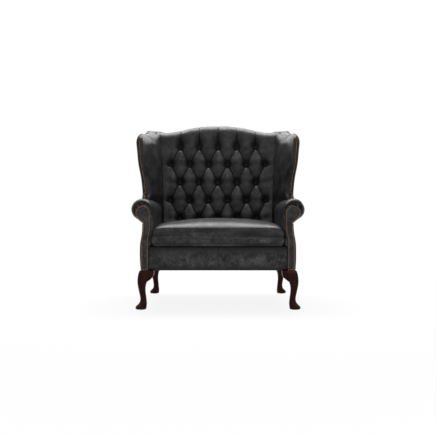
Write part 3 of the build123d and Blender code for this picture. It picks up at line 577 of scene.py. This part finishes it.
def diamonds(x, up):
    """Fullness of the pillows, 0 in a pleat and 1 on a crown, and how deep the pleats are there."""
    down, out = np.clip(rows_down(up), 0, 4), np.clip(halves_out(x), 0, 5)
    above = ramp(up, top_row, top_row + over_roll)
    beyond = ramp(np.abs(x), outer_button_x, outer_button_x + 0.025)
    outer = ramp(np.abs(x), 0.25, 0.27)
    edge = pillow_edge - 0.30 * above
    full = swell((out + down) / 2 % 1, edge) * swell((down - out) / 2 % 1, edge * (1 - 0.6 * outer))
    return np.clip(full, 0, 1), pleat_depth * (1 - 0.85 * above) * (1 - 0.92 * beyond)


def level_hollows(x, up):
    """The soft hollow that runs level between the buttons of one row."""
    down = np.clip(rows_down(up), 0, 4.4)
    away = np.abs((down + 0.5) % 1 - 0.5) * row_pitch
    towards_side = np.clip((0.36 - np.abs(x)) / 0.05, 0.2, 1)
    return hollow_depth * bell(away, 0.019) * ramp(down, 0, 1 / 3) * towards_side


print("pillows", button_pitch, "m wide and", 2 * row_pitch, "m high")

# %% Folds
fold_spacing, fold_width, straight_width = 0.1075, 0.0026, 0.0030
lip_height, lip_away = 0.3, 0.0065


def crease_lines(x, up):
    """The diagonal folds: 1 in the line of a fold, and below 0 on the raised lip just outside it."""
    down, out = np.clip(rows_down(up), 0, 4), halves_out(x)
    total = 0
    for family in ((out + down) / 2, (down - out) / 2):
        away = ((family + 0.5) % 1 - 0.5) * fold_spacing
        total = total + bell(away, fold_width) - lip_height * bell(away + lip_away, fold_width)
    inside = ramp(np.abs(x), 0.305, 0.301) * ramp(up, top_row, top_row - 0.004)
    return np.clip(total, -0.4, 1) * inside


def straight_folds(x, up):
    """Upright pleats above the top row, and faint level ones at the sides: 1 in the line of a fold."""
    away = np.abs((np.abs(x) / button_pitch + 0.5) % 1 - 0.5) * button_pitch
    over = bell(away, straight_width) * ramp(up, top_row, top_row + 0.01) * (np.abs(x) < 0.26)
    row_away = np.abs(rows_down(up) / 2 % 1 - 0.5) * 2 * row_pitch
    to_side = 0.3 * bell(row_away, straight_width) * ramp(np.abs(x), 0.308, 0.314) * (up < top_row)
    return over + to_side


print("folds", 2 * fold_width, "m wide")

# %% Painted highlights on the diamonds


def painted_diamond_highlights(x, up):
    """How much lighter a diamond is painted, as painted highlight of light from above: its upper half, and
    the middle of its lower half a little.
    """
    down, out = rows_down(up), halves_out(x)
    right, left = (out + down) / 2 % 1, (down - out) / 2 % 1
    drop = (right + left) / 2
    upper = ramp(drop, 0.56, 0.34) * ramp(drop, 0, 0.10)
    lower = 0.45 * bell(right - left, 0.30) * ramp(drop, 0.6, 0.7)
    within = ramp(down, 0, 0.25) * ramp(down, 4, 3.75) * ramp(np.abs(x), 0.30, 0.28)
    return (upper + lower) * within


# The value printed is the painted highlight just below a button.
print("rubbed below a button", painted_diamond_highlights(0.0, top_row - 0.3 * row_pitch).round(2))

# %% Dimples
buttons = [
    ((place - (count - 1) / 2) * button_pitch, top_row - row * row_pitch)
    for row, count in enumerate((5, 6, 5, 6, 5)) for place in range(count)
]
inner_pit, outer_pit, flat_under_button = (0.0145, 0.0185), (0.0125, 0.0140), 0.008


def dimples(x, up):
    """How far the buttons pull the leather in: a wide soft pit round each, longer above the top row."""
    depth = np.zeros(np.broadcast(x, up).shape)
    for button_x, button_up in buttons:
        rise = up - button_up - 0.003
        rise = np.where(rise > 0, rise * (0.45 if button_up == top_row else 0.72), rise * 1.05)
        away = np.clip(np.hypot(x - button_x, rise) - flat_under_button, 0, 1)
        deepest, wide = inner_pit if abs(button_x) < 0.3 else outer_pit
        depth = np.maximum(depth, deepest * bell(away, wide))
    return depth


print(len(buttons), "dimples")

# %% [markdown]
# ## The pad's outline
# The camel crest is high in the middle and falls in a long curve to both sides. Its heights could be typed
# in again, but two lists would then have to agree, so they are read from the CAD solid in 40 slices and
# smoothed over their neighbours. How wide the pad is at each height is a short list, because the wings
# close it there.

# %% The crest, read from the CAD solid
solid = np.array([v.co[:] for v in frame["nodes"]["inside_back"].data.vertices])
solid_out = np.abs(solid[:, 0])
solid_up = (solid[:, 1] - base_back_y) * math.sin(lean) + (solid[:, 2] - leg_height) * math.cos(lean)
slices, slice_half = np.linspace(0, solid_out.max(), 42)[:-2], 0.0055
tops = np.array([solid_up[np.abs(solid_out - middle) < slice_half].max() for middle in slices])
smoothing = np.hanning(7) / np.hanning(7).sum()
tops = np.convolve(np.pad(tops, 3, mode="edge"), smoothing, mode="valid")


def crest_line(x):
    """How far up the lean the camel crest is at each X."""
    return np.interp(np.abs(x), slices, tops)


print("crest", [round(float(crest_line(x)), 3) for x in (0, 0.1, 0.2, 0.3, 0.4)])

# %% How wide the pad is
width_z = [0.30, 0.49, 0.591, 0.66, 0.75, 0.84, 0.90, 0.96, 1.0, 1.045, 1.10]
width_x = [0.345, 0.345, 0.349, 0.353, 0.358, 0.363, 0.372, 0.385, 0.392, 0.401, 0.404]


def half_width(z):
    """Half the width of the pad at each height."""
    return np.interp(z, width_z, width_x)


print("half width at the seat", half_width(0.49), "and at the crest", half_width(1.045))

# %% [markdown]
# ## The buttoned skin
# The inside back is one piece of leather that runs up the front, rolls over the crest and is tacked down
# behind it. Remeshing the CAD solid would make quads of one size everywhere, and the narrow folds need
# more. So the skin is a grid of its own: 361 outlines side by side, each pushed in by the rules above. Near
# the sides the crest stays level and its roll gets tighter, to meet the wings.

# %% One outline of the pad
pad_bottom, roll_back, wrap_drop, tack_line = 0.1045, 0.018, 0.05, 0.0095


def quarter(up, forward, radius, start, steps):
    """Rows round a quarter circle about a centre. It starts at an angle, 0 being straight forward."""
    turned = start + np.linspace(0, math.pi / 2, steps + 1)[1:]
    ways = [(math.sin(angle), math.cos(angle)) for angle in turned]
    return [(up + radius * s, forward + radius * c, s, c) for s, c in ways]


def back_profile(crest, roll_front):
    """Rows of the pad's outline: how far up and forward, and the outward way as up and forward shares."""
    rows = [(up, pad_front, 0, 1) for up in np.linspace(pad_bottom, crest - roll_front, 320)]
    rows += quarter(crest - roll_front, pad_front - roll_front, roll_front, 0, 25)
    level = np.linspace(pad_front - roll_front, tack_line + roll_back, 16)[1:]
    rows += [(crest, forward, 1, 0) for forward in level]
    rows += quarter(crest - roll_back, tack_line + roll_back, roll_back, math.pi / 2, 8)
    wrapped = crest - wrap_drop
    rows += [(wrapped, tack_line, 0, -1), (wrapped, pad_back, 0, -1), (pad_bottom, pad_back, 0, -1)]
    return np.array(rows)


print(len(back_profile(crest_length, 0.075)), "points in an outline")

# %% One column of the skin
reach_of_crest, level_beyond = 0.40, 0.345
# The last number scales the painted highlights on the diamonds.
fold_depth, straight_depth, side_depth, diamond_highlight_strength = 0.0031, 0.0050, 0.005, 2.4


def back_column(share):
    """Points of the outline at a share of the half width, -1 to 1, and the painted shade and highlight to
    store on each.
    """
    aside = abs(share) * reach_of_crest
    roll_front = np.interp(aside, [0.33, 0.40], [0.075, 0.055])
    up, forward, out_up, out_forward = back_profile(crest_line(min(aside, level_beyond)), roll_front).T
    half = half_width(on_back(0.0, up, forward)[:, 2])
    x = share * half
    flat, facing_front = out_forward > 0.99, out_forward.clip(0, 1)
    shown = np.clip(out_forward + out_up * 0.8 + 0.2, 0, 1)
    full, depth = diamonds(x, up)
    folds = straight_folds(x, up) * shown
    side_roll = side_depth * round_off(ramp(half - np.abs(x), 0.010, 0)) * shown
    push = (1 - full) * depth * facing_front + dimples(x, up) * flat + side_roll
    push += level_hollows(x, up) * flat + crease_lines(x, up) * shown * fold_depth + folds * straight_depth
    ripple = smooth_noise(np.stack([x, up, forward], 1), 0.06, 5) * 0.0008 * facing_front
    points = on_back(x, up - out_up * (push - ripple), forward - out_forward * (push - ripple))
    # The number stored is painted light and shade: near 0, painted shade, in pleats, folds and button pits;
    # above 1, painted highlight, on the diamonds' upper halves.
    height = ramp(push, 0.020, 0.003) * (1 - 0.85 * np.clip(folds, 0, 1))
    return points, height * (1 + diamond_highlight_strength * painted_diamond_highlights(x, up))


print("column in the middle starts at", back_column(0.0)[0][0].round(3))

# %% The whole skin
across = np.linspace(-1, 1, 361)
columns, painted_shading_of_columns = zip(*(back_column(share) for share in across))
ring, last = len(columns[0]), len(across) - 1
faces = [
    (c * ring + r, (c + 1) * ring + r, (c + 1) * ring + (r + 1) % ring, c * ring + (r + 1) % ring)
    for c in range(last) for r in range(ring)
]
faces += [tuple(range(ring)), tuple(reversed(range(last * ring, (last + 1) * ring)))]
back_mesh = bpy.data.meshes.new("buttoned_back")
back_mesh.from_pydata(np.concatenate(columns).tolist(), [], faces)
back_mesh.validate()
buttoned_back = new_object("buttoned_back", back_mesh)
# The painted shade and highlights of every column, stored as the skin's crest number.
crest = np.concatenate(painted_shading_of_columns)
finish_piece(buttoned_back, "buttoned_back", leathers[1], "chair", ["inside_back"], crest)

# %% [markdown]
# ## The seat cushion
# It is one loose, boxed cushion with a crown that is highest in the middle. A box with round edges would be
# shorter to write, but the CAD foam has the right crown, so the cover is that form let out to the cover's
# box. Two lapped seams run round it, one at each edge of the wall, with a low welt above each. The wall
# bulges a little between them, sags into one long ledge across the front, and has the level creases that a
# sat-on cushion gets.

# %% Cushion skin
cushion = skin_of("seat_cushion_foam", 0.005, 3)
low, high = box_of("seat_cushion_cover")
points = corners(cushion.data)
top_rim = ramp(points[:, 2] - low[2], 0.075, 0.105)
front_rim = ramp(points[:, 1] - low[1], 0.10, 0)
side_rim = ramp(np.abs(points[:, 0]), 0.26, 0.32)
soften(cushion.data, top_rim * np.maximum(front_rim, side_rim), 8)
fit(cushion.data, low, high)
print("cushion skin", len(points), "points")

# %% Seams and the ledge
points, ways = corners(cushion.data), normals(cushion.data)
over_base, from_front = points[:, 2] - low[2], points[:, 1] - low[1]
upright = np.clip(1 - np.abs(ways[:, 2]) * 1.2, 0, 1)
wall_low, wall_high, seam_depth = 0.012, 0.094, 0.0026
seams, welts = np.zeros(len(points)), np.zeros(len(points))
for edge in (wall_low, wall_high):
    seams += groove(over_base - edge, 0.003, seam_depth)
    welts -= groove(over_base - edge - 0.006, 0.004, 0.0012)
waist = np.cos(np.clip((over_base - (wall_low + wall_high) / 2) / 0.045, -1, 1) * math.pi / 2)
sway = smooth_noise(points * [0.3, 0.3, 0], 0.12, 14) * 0.003
ledge_height = 0.056 - 0.012 * points[:, 0] - 0.02 * np.abs(points[:, 0] + 0.1) + sway
ledge = ramp(ledge_height - over_base, 0, 0.012)
ledge = ledge * ledge * (3 - 2 * ledge) * ramp(over_base, wall_low, wall_low + 0.03)
print("seams at", round(float(low[2] + wall_low), 3), "and", round(float(low[2] + wall_high), 3))

# %% Creases, and the finished cushion
bulge, ledge_rise = 0.003, 0.0055
level = points * [0.22, 0.3, 1]
creases = smooth_noise(level, 0.030, 11) * 0.0013 + smooth_noise(level, 0.014, 12) * 0.0005
streaks = smooth_noise(points * [0.12, 0.3, 1], 0.035, 15)
soft = smooth_noise(points, 0.25, 13) * 0.0012 * (1 - upright) * ramp(from_front, 0.06, 0.16)
aside = np.clip(np.abs(ways[:, 0]) * 1.3 - 0.3, 0, 1) * ramp(over_base, 0.085, 0.055) * 0.005
wall = seams + welts + waist * (bulge + creases) + ledge * ledge_rise
put(cushion.data, points + ways * (upright * wall + soft + aside)[:, None])
clear_of(cushion.data, "seat_cushion_foam", 0.0015)
# Painted shade: the seams' grooves go near black. Painted highlights: the wall is lighter in level streaks
# and on the slope of the ledge.
out_of_seams = np.clip(1 + seams * upright / 0.003, 0, 1)
lightened = (1.2 + upright * (0.9 * streaks + 4.0 * ledge * (1 - ledge))).clip(0.3)
finish_piece(
    cushion, "seat_cushion", leathers[2], "seat_cushion", ["seat_cushion_cover"], out_of_seams * lightened
)

# %% [markdown]
# ## Arms
# The inside of each arm is one piece of leather that rises from the seat, rolls over the top and tucks
# under at the neck. At the front it is drawn in round the scroll, under the nailed facing, and stands up in
# small gathers there. Loose cloth laid over the frame could give them, but not the same ones at each run,
# so they are a sine of the angle round the scroll, strongest beside the facing.

# %% Measures of the roll
scroll, roll, roll_radius = (0.397, 0.514), (0.407, 0.533), 0.058
arm_front = front_y + 0.008
narrow_rim, wide_rim = 0.008, 0.020


def rim_of(points):
    """How far each point is inside the rim of the roll, the rim's width there, and nearness to the front."""
    x = np.abs(points[:, 0]) - roll[0]
    inside = roll_radius - np.hypot(x, points[:, 2] - roll[1])
    width = narrow_rim + (wide_rim - narrow_rim) * ramp(x / roll_radius, -0.95, -0.40)
    low_side = np.where(x < 0, 0.490, 0.452)
    near = ramp(points[:, 2] - low_side, 0, 0.02) * ramp(points[:, 1] - arm_front, 0.055, 0)
    return inside, width, near


def inner_face(points):
    """How far out the arm's face beside the seat is at each point's height."""
    return np.interp(points[:, 2], [0.352, 0.445], [0.362, 0.349])


def gathers(points, seed):
    """Small folds round the scroll on the front of the roll: 1 at the bottom of a fold, 0 between them."""
    x, z = np.abs(points[:, 0]) - scroll[0], points[:, 2] - scroll[1]
    angle, reach = np.arctan2(z, x), np.hypot(x, z)
    inside, width, near = rim_of(points)
    band = ramp(reach, 0.034, 0.040) * near * np.clip((inside - width) / 0.004, 0.15, 1)
    folds = 1 - np.abs(np.sin(angle * 5.5 + smooth_noise(points, 0.08, seed) * 0.9))
    return folds ** 1.2 * band


print("arm rolls", 2 * roll_radius, "m through, centred", roll)

# %% Arm rolls
gather_depth, tuck_depth, lip_rise = 0.0065, 0.0045, 0.0045


def round_front(mesh, sign):
    """Rounds the front rim of the roll and the inner front edge, and draws the inner face in to the seat."""
    points = corners(mesh)
    inside, width, near = rim_of(points)
    x, face = np.abs(points[:, 0]), inner_face(points)
    depth = 0.016 + 0.018 * ramp(width, narrow_rim, wide_rim)
    fall = depth * round_off(np.clip(1 - inside / width, 0, 0.98)) * near
    at_front = ramp(points[:, 1] - arm_front, 0.03, 0) * ramp(points[:, 2], 0.510, 0.490)
    fall += 0.016 * round_off(np.clip(1 - (x - face) / 0.014, 0, 0.98)) * at_front
    inward = np.clip(-normals(mesh)[:, 0] * sign, 0, 1) * (x < 0.37)
    points[:, 0] -= sign * np.clip(face - 0.3505, 0, 1) * inward * ramp(points[:, 2], 0.330, 0.345)
    points[:, 1] += fall
    put(mesh, points)
    soften(mesh, near, 2)


def gather_front(mesh, seed):
    """Makes the gathers, with a tuck beside the facing and a lip behind it. Returns painted shade and
    highlight to store.
    """
    points, ways = corners(mesh), normals(mesh)
    inside, width, near = rim_of(points)
    folds, at_front = gathers(points, seed), near * np.clip(-ways[:, 1], 0, 1)
    tucked = bell(inside - width - 0.001, 0.0036) * at_front
    lip = bell(inside - width - 0.010, 0.005) * at_front * (1 - folds)
    soft = smooth_noise(points * [1, 0.45, 1], 0.07, seed + 1) * 0.0009
    push = soft - folds * gather_depth - tucked * tuck_depth + lip * lip_rise
    put(mesh, points + ways * push[:, None])
    # A painted highlight along the inner front edge of the arm, above the seat.
    edge = bell(np.abs(points[:, 0]) - inner_face(points) - 0.004, 0.005)
    edge = edge * (ways[:, 1] < -0.2) * (points[:, 2] < 0.50)
    # The ring inside the rim is painted lighter, as painted highlight; the folds and the tuck go darker, as
    # painted shade.
    lightened = 1 + 1.8 * near * ramp(inside - width, 0, 0.004)
    return np.clip(1 - 1.3 * folds - tucked, 0, 1) * lightened + 3 * edge


for side, sign, seed in (("left", -1, 20), ("right", 1, 30)):
    covered = f"{side}_inside_arm"
    arm = skin_of(covered, 0.0028, 4)
    round_front(arm.data, sign)
    height = gather_front(arm.data, seed)
    clear_of(arm.data, f"{side}_arm_stump", 0.0008)
    finish_piece(arm, f"{side}_arm_roll", leathers[3], "chair", [covered], height)

# %% [markdown]
# ## Outside arms and scroll facings
# The outside of each arm is a flat panel, and its facing is leather glued over a thin board. Both could
# stay as the CAD has them, but dead flat leather looks like plastic, so each gets a slight unevenness.
# Hands rub the facings, so they are lighter all over.

# %% Arm panels and facings


def make_uneven(mesh, wavelength, seed, height):
    """Gives a flat cover the slight unevenness of leather."""
    points = corners(mesh)
    put(mesh, points + normals(mesh) * (smooth_noise(points, wavelength, seed) * height)[:, None])


for side, seed in (("left", 22), ("right", 32)):
    covered = f"{side}_outside_arm"
    panel = skin_of(covered, 0.0045, 2)
    make_uneven(panel.data, 0.12, seed, 0.0008)
    finish_piece(panel, f"{side}_arm_panel", leathers[0], "chair", [covered], None)
    covered = f"{side}_arm_facing"
    facing = skin_of(covered, 0.0026, 2)
    make_uneven(facing.data, 0.03, seed + 1, 0.0003)
    lightened = np.full(len(facing.data.vertices), 1.7)
    finish_piece(facing, f"{side}_scroll_facing", leathers[2], "chair", [covered], lightened)

# %% [markdown]
# ## Border
# The border under the cushion is lightly padded leather with a low belly, and one upright seam in the
# middle where two hides meet. A flat strip would catch the light in one even tone. The belly, and a band
# painted lighter along its middle as a painted highlight, with painted shade at its top under the cushion,
# at its foot and in the seam, turn that into a soft stripe.

# %% Front border
middle_seam, belly_rise = 0.0025, 0.009
border = skin_of("front_border", 0.003, 1)
low, high = box_of("front_border")
points, ways = corners(border.data), normals(border.data)
facing_front = np.clip(-ways[:, 1], 0, 1)
seam = groove(points[:, 0], 0.0022, middle_seam) * facing_front
soft = smooth_noise(points * [0.5, 1, 1], 0.06, 41) * 0.0008
drop = ramp(points[:, 2], high[2], low[2])
belly = belly_rise * np.sin(math.pi * drop ** 1.1) * ramp(np.abs(points[:, 0]), 0.352, 0.322)
put(border.data, points + ways * ((seam + soft + belly) * facing_front)[:, None])
# Painted light and shade: near black in the seam and at the top and foot of the border, lighter in a band
# along the middle.
lightened = np.clip(1 + seam / middle_seam, 0, 1) * (0.1 + 3.2 * np.sin(math.pi * drop ** 1.2) ** 2)
finish_piece(border, "front_border_pad", leathers[0], "chair", ["front_border"], lightened)

# %% [markdown]
# ## Wings
# Each wing is a board stuffed on the sitter's side. Its top edge is hollowed towards the sitter, and a tuck
# at the dip of that edge draws the leather into two puffs. Its outer corner is rounded at the front. An
# inflated cloth would need the right seams before it gave this, so the hollow, the tuck and the swelling
# face are rules again. At the end the leather settles on the wing board, by turns of clearing and
# softening, so that the board neither shows through nor leaves a hard line.

# %% Measures of the wings
cusp_y, cusp_z = front_y + 0.487, 1.0
top_y = np.array([0.301, 0.318, 0.333, 0.41, 0.487, 0.56, 0.63, 0.68]) + front_y
top_z = [0.95, 0.966, 0.974, 0.993, 1.0, 1.026, 1.058, 1.058]
wing_front = front_y + 0.318


def near_top(points, reach):
    """1 at the wing's top edge and above it, 0 from a reach below it."""
    return ramp(np.interp(points[:, 1], top_y, top_z) - points[:, 2], reach, 0)


def nail_line(points):
    """How far out the row of nails is at each point of a wing."""
    return 0.461 + 0.089 * (points[:, 2] - 0.960) - 0.042 * (points[:, 1] - wing_front)


def shoulder(points):
    """Rounds the outer top corner of a wing at its front: how far each point goes down."""
    outside = ramp(np.abs(points[:, 0]) - nail_line(points), 0.002, 0.019)
    return 0.030 * outside ** 2 * near_top(points, 0.11) ** 1.4 * ramp(points[:, 1], 0.28, 0.06)


def tuck(across, y, wide, depth, below):
    """The tuck that runs inwards from the dip of the top edge, shallower and wider further below it."""
    return groove(y - cusp_y - 0.8 * across, wide + 0.03 * below, depth) * (1 - below)


print("the dip is at Y", round(cusp_y, 3), "and Z", cusp_z)

# %% Steps of a wing
top_hollow, face_swell, foot_depth = 0.044, 0.007, 0.003
wide_tuck, sharp_tuck = (0.020, 0.012), (0.011, 0.005)


def hollow_top(mesh):
    """Hollows the top edge, rounds its corner and starts the tuck. Returns how far out the nails are."""
    points = corners(mesh)
    nails_x, x, y = nail_line(points), np.abs(points[:, 0]), points[:, 1]
    inner_x = 0.404 - 0.232 * (y - wing_front) + 0.09 * (points[:, 2] - 0.591)
    across = np.clip((nails_x - x) / np.maximum(nails_x - inner_x, 0.02), 0, 1)
    from_top = near_top(points, 0.15)
    to_back = np.clip((0.225 - y) / 0.09, 0.1, 1)
    points[:, 2] -= top_hollow * across ** 2 * from_top ** 1.3 * to_back + shoulder(points)
    below = ramp(points[:, 2], cusp_z, cusp_z - 0.10)
    points[:, 2] += tuck(nails_x - x, y, *wide_tuck, below) * np.clip(across * 8, 0, 1)
    put(mesh, points)
    near_foot = np.clip(1 - np.abs(points[:, 2] - 0.62) / 0.07, 0, 1)
    soften(mesh, np.maximum(np.clip(from_top * 2, 0, 1), near_foot) * np.clip(across * 4 - 0.5, 0, 1), 30)
    return nails_x


def stuff_face(mesh, sign, seed, nails_x):
    """Swells the face and draws in its foot. Returns painted shade to store, nearness to top, way from nails.
    """
    points, ways = corners(mesh), normals(mesh)
    y, z, from_nails = points[:, 1], points[:, 2], nails_x - np.abs(points[:, 0])
    inward, upward = np.clip(-ways[:, 0] * sign, 0, 1), np.clip(ways[:, 2], 0, 1)
    swelling = np.sin(ramp(y, -0.10, 0.20) * math.pi) * np.sin(ramp(z, 0.58, 1.0) * math.pi)
    drawn = tuck(from_nails, y, *sharp_tuck, ramp(z, cusp_z, cusp_z - 0.10)) * np.clip(inward + upward, 0, 1)
    soft = smooth_noise(points, 0.08, seed) * 0.0013
    foot = bell(z - 0.600, 0.030) * np.clip(inward + upward - ways[:, 1] * 0.5, 0, 1)
    push = inward * (swelling * face_swell + soft) + drawn - foot * foot_depth
    put(mesh, points + ways * push[:, None])
    # Painted shade: darker in the tuck and in the dent at the foot, and darker towards the top edge.
    height = np.clip(1 + drawn / 0.011 - foot * 1.2 - 0.35 * near_top(points, 0.08), 0, 1)
    return height, near_top(points, 0.12), from_nails


def settle(mesh, board, at_top, from_nails):
    """Lets the top of a wing settle on its board, clearing and softening by turns."""
    clear_of(mesh, board, 0.0012)
    soften(mesh, at_top * ramp(from_nails, 0.006, 0.026), 14)
    for gap, times in ((0.0040, 3), (0.0032, 1), (0.0030, 0)):
        clear_of(mesh, board, gap)
        soften(mesh, at_top * ramp(from_nails, 0, 0.02), times)


print("a wing is made in three steps")

# %% Wing pads and panels
for side, sign, seed, hide in (("left", -1, 50, leathers[1]), ("right", 1, 60, leathers[3])):
    covered, board = f"{side}_inside_wing", f"{side}_wing_board"
    wing = skin_of(covered, 0.0045, 3)
    nails_x = hollow_top(wing.data)
    height, at_top, from_nails = stuff_face(wing.data, sign, seed, nails_x)
    settle(wing.data, board, at_top, from_nails)
    finish_piece(wing, f"{side}_wing_pad", hide, "chair", [covered], height)
    covered = f"{side}_outside_wing"
    shell = skin_of(covered, 0.004, 2)
    points = corners(shell.data)
    put(shell.data, points - np.stack([points[:, 0] * 0, points[:, 1] * 0, shoulder(points)], 1))
    clear_of(shell.data, board, 0.0018)
    finish_piece(shell, f"{side}_wing_panel", leathers[0], "chair", [covered], None)

# %% [markdown]
# ## Nail heads
# Each nail head is a small dome. Hands and polish reach only its crown, so the crown is copper bright and
# the rim is almost black; the bright crown is also a painted highlight of the dome, and the black rim
# painted shade. New domes could be placed along the edges, but the CAD has each nail already. A colour that
# follows the height on the dome needs that height stored on its points, so the rows are copied and each
# point gets a number, 0 at the rim and 1 on the crown. A nail comes as four patches of surface, and the one
# in sight is its dome, so the number is worked out patch by patch.

# %% The patches of the nails


def separate_parts(mesh):
    """A number for each point that says which patch of surface it is on."""
    a, b = ends_of_edges(mesh)
    label = np.arange(len(mesh.vertices))
    while True:
        lowest = label.copy()
        np.minimum.at(lowest, a, label[b])
        np.minimum.at(lowest, b, label[a])
        if (lowest == label).all():
            return label
        label = lowest


nail_rows = {"facing_nails": "scroll_nails", "wing_nails": "wing_nail_row"}
for node in nail_rows:
    print("left", node, len(np.unique(separate_parts(frame["nodes"][f"left_{node}"].data))), "patches")

# %% Brass nails
dome_height, rim_share = 0.0026, 0.93


def height_on_dome(points):
    """0 at the rim and 1 on the crown of a dome. The points farthest from its middle are its rim."""
    middle = points.mean(0)
    reach = np.linalg.norm(points - middle, axis=1)
    rim = points[reach > reach.max() * rim_share].mean(0)
    along = (points - rim) @ ((middle - rim) / np.linalg.norm(middle - rim))
    return ramp(along.max() - along, dome_height, 0)


def brass_nails(node, name):
    """Copies a row of nails and stores how far up its dome each point is."""
    mesh = frame["nodes"][node].data.copy()
    nails = new_object(name, mesh)
    points, label = corners(mesh), separate_parts(mesh)
    crown = np.zeros(len(points))
    for patch in np.unique(label):
        crown[label == patch] = height_on_dome(points[label == patch])
    dress(mesh, finishes["antique_brass"], "crown", crown)
    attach(nails, "chair")
    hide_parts(node)
    print(name, len(points), "points")


for side in ("left", "right"):
    for node, name in nail_rows.items():
        brass_nails(f"{side}_{node}", f"{side}_{name}")

# %% [markdown]
# ## The outside back
# The back is one plain panel of leather, tacked to the frame. It could keep its CAD shape but for two
# things: the slight unevenness of leather, and its two top corners, which an upholsterer draws up over the
# ends of the wing boards. The corners rise along the lean, and no higher than the boards' top.

# %% Outside back panel
corner_lift, board_top = 0.028, 1.056
outside = skin_of("outside_back", 0.004, 1)
make_uneven(outside.data, 0.2, 71, 0.0008)
points = corners(outside.data)
lift = corner_lift * ramp(np.abs(points[:, 0]), 0.402, 0.422) * ramp(points[:, 2], 0.98, 1.02)
lift = np.minimum(lift, np.maximum(board_top - points[:, 2], 0))
put(outside.data, points + np.stack([lift * 0, lift * math.tan(lean), lift], 1))
finish_piece(outside, "outside_back_panel", leathers[2], "chair", ["outside_back"], None)

# %% [markdown]
# ## Floor and backdrop
# The chair stands on a plain pale floor in a white room, as in a shop's picture. A lit floor alone comes out
# grey, so where the camera sees it, most of its colour is a plain glow, weaker close by, and a little of
# the chair's shadow still shows. The world is white to the camera but dim as a light: the lamps shade.

# %% Floor
floor_mesh = bpy.data.meshes.new("floor")
floor_mesh.from_pydata([(-8, -6, 0), (8, -6, 0), (8, 10, 0), (-8, 10, 0)], [], [(0, 1, 2, 3)])
floor = new_object("floor", floor_mesh)
pale = Finish("pale_floor", Base_Color=(0.9, 0.9, 0.9, 1.0), Roughness=0.9)
spot = pale.node("TexCoord", out="Object")
distance = pale.node("VectorMath", {"operation": "LENGTH"}, {"Vector": spot}, "Value")
glowing = pale.seen_directly().math("MINIMUM", 1.0) * (distance.between(0.9, 2.6) * 0.12 + 0.88)
lit, glow = Pattern(pale, pale.shader.outputs[0]), pale.node("Emission", None, {"Strength": 1.0})
mixed = pale.node("MixShader", None, {"Fac": glowing, 1: lit, 2: glow})
pale.join(mixed, pale.tree.nodes["Material Output"].inputs["Surface"])
floor_mesh.materials.append(pale.material)
print("floor laid")

# %% World
world = bpy.data.worlds.new("studio")
bpy.context.scene.world = world
world.use_nodes = True
sky, dim_light = Shading(world.node_tree), 0.22
backdrop = sky.tree.nodes["Background"]
through_glass = sky.node("LightPath", out="Is Transmission Ray")
white = (sky.seen_directly() + through_glass).math("MINIMUM", 1.0)
sky.join((1, 1, 1, 1), backdrop.inputs["Color"])
sky.join(white * (1 - dim_light) + dim_light, backdrop.inputs["Strength"])
print("backdrop white, its own light", dim_light)

# %% [markdown]
# ## Lamps
# A broad lamp hangs above and a little behind the chair, a second stands behind it, and a weak one fills
# from the front. One lamp in front would flatten the buttons. From above and behind, the crowns and rolls
# shine and the upright leather stays dark.

# %% Lamps


def lamp(name, place, target, size, power):
    """A soft rectangular lamp that points at a target."""
    light = bpy.data.lights.new(name, "AREA")
    light.shape, light.size, light.size_y, light.energy = "RECTANGLE", size[0], size[1], power
    thing = new_object(name, light)
    thing.location = place
    thing.visible_camera = False
    x, y, z = np.array(target) - np.array(place)
    thing.rotation_euler = (math.acos(-z / math.hypot(x, y, z)), 0, math.atan2(-x, y))
    print("lamp", name, power, "W")


lamp("overhead", (0, 0.9, 2.9), (0, 0.1, 0.6), (2.6, 1.5), 128)
lamp("behind", (0, 3.2, 2.3), (0, 0, 0.8), (3.6, 1.0), 32)
lamp("front_fill", (0.5, -3.4, 3.0), (0, 0, 0.6), (2.4, 1.6), 24)

# %% [markdown]
# ## Camera
# The picture of such a chair is taken level, straight from the front and at seat height. From nearer the
# rear feet would show more, and from farther off less. At 3 metres they stand where they should.

# %% Camera
scene = bpy.context.scene
scene.view_settings.view_transform = "Standard"
eye = bpy.data.cameras.new("camera")
eye.sensor_width, eye.lens = 36, 46.74
camera = bpy.data.objects.new("camera", eye)
scene.collection.objects.link(camera)
before_front, seat_height = 3.0, 0.4866
camera.location = (0, front_y - before_front, seat_height)
camera.rotation_euler = (math.pi / 2, 0, 0)
scene.camera = camera
print("camera at", tuple(round(v, 3) for v in camera.location))
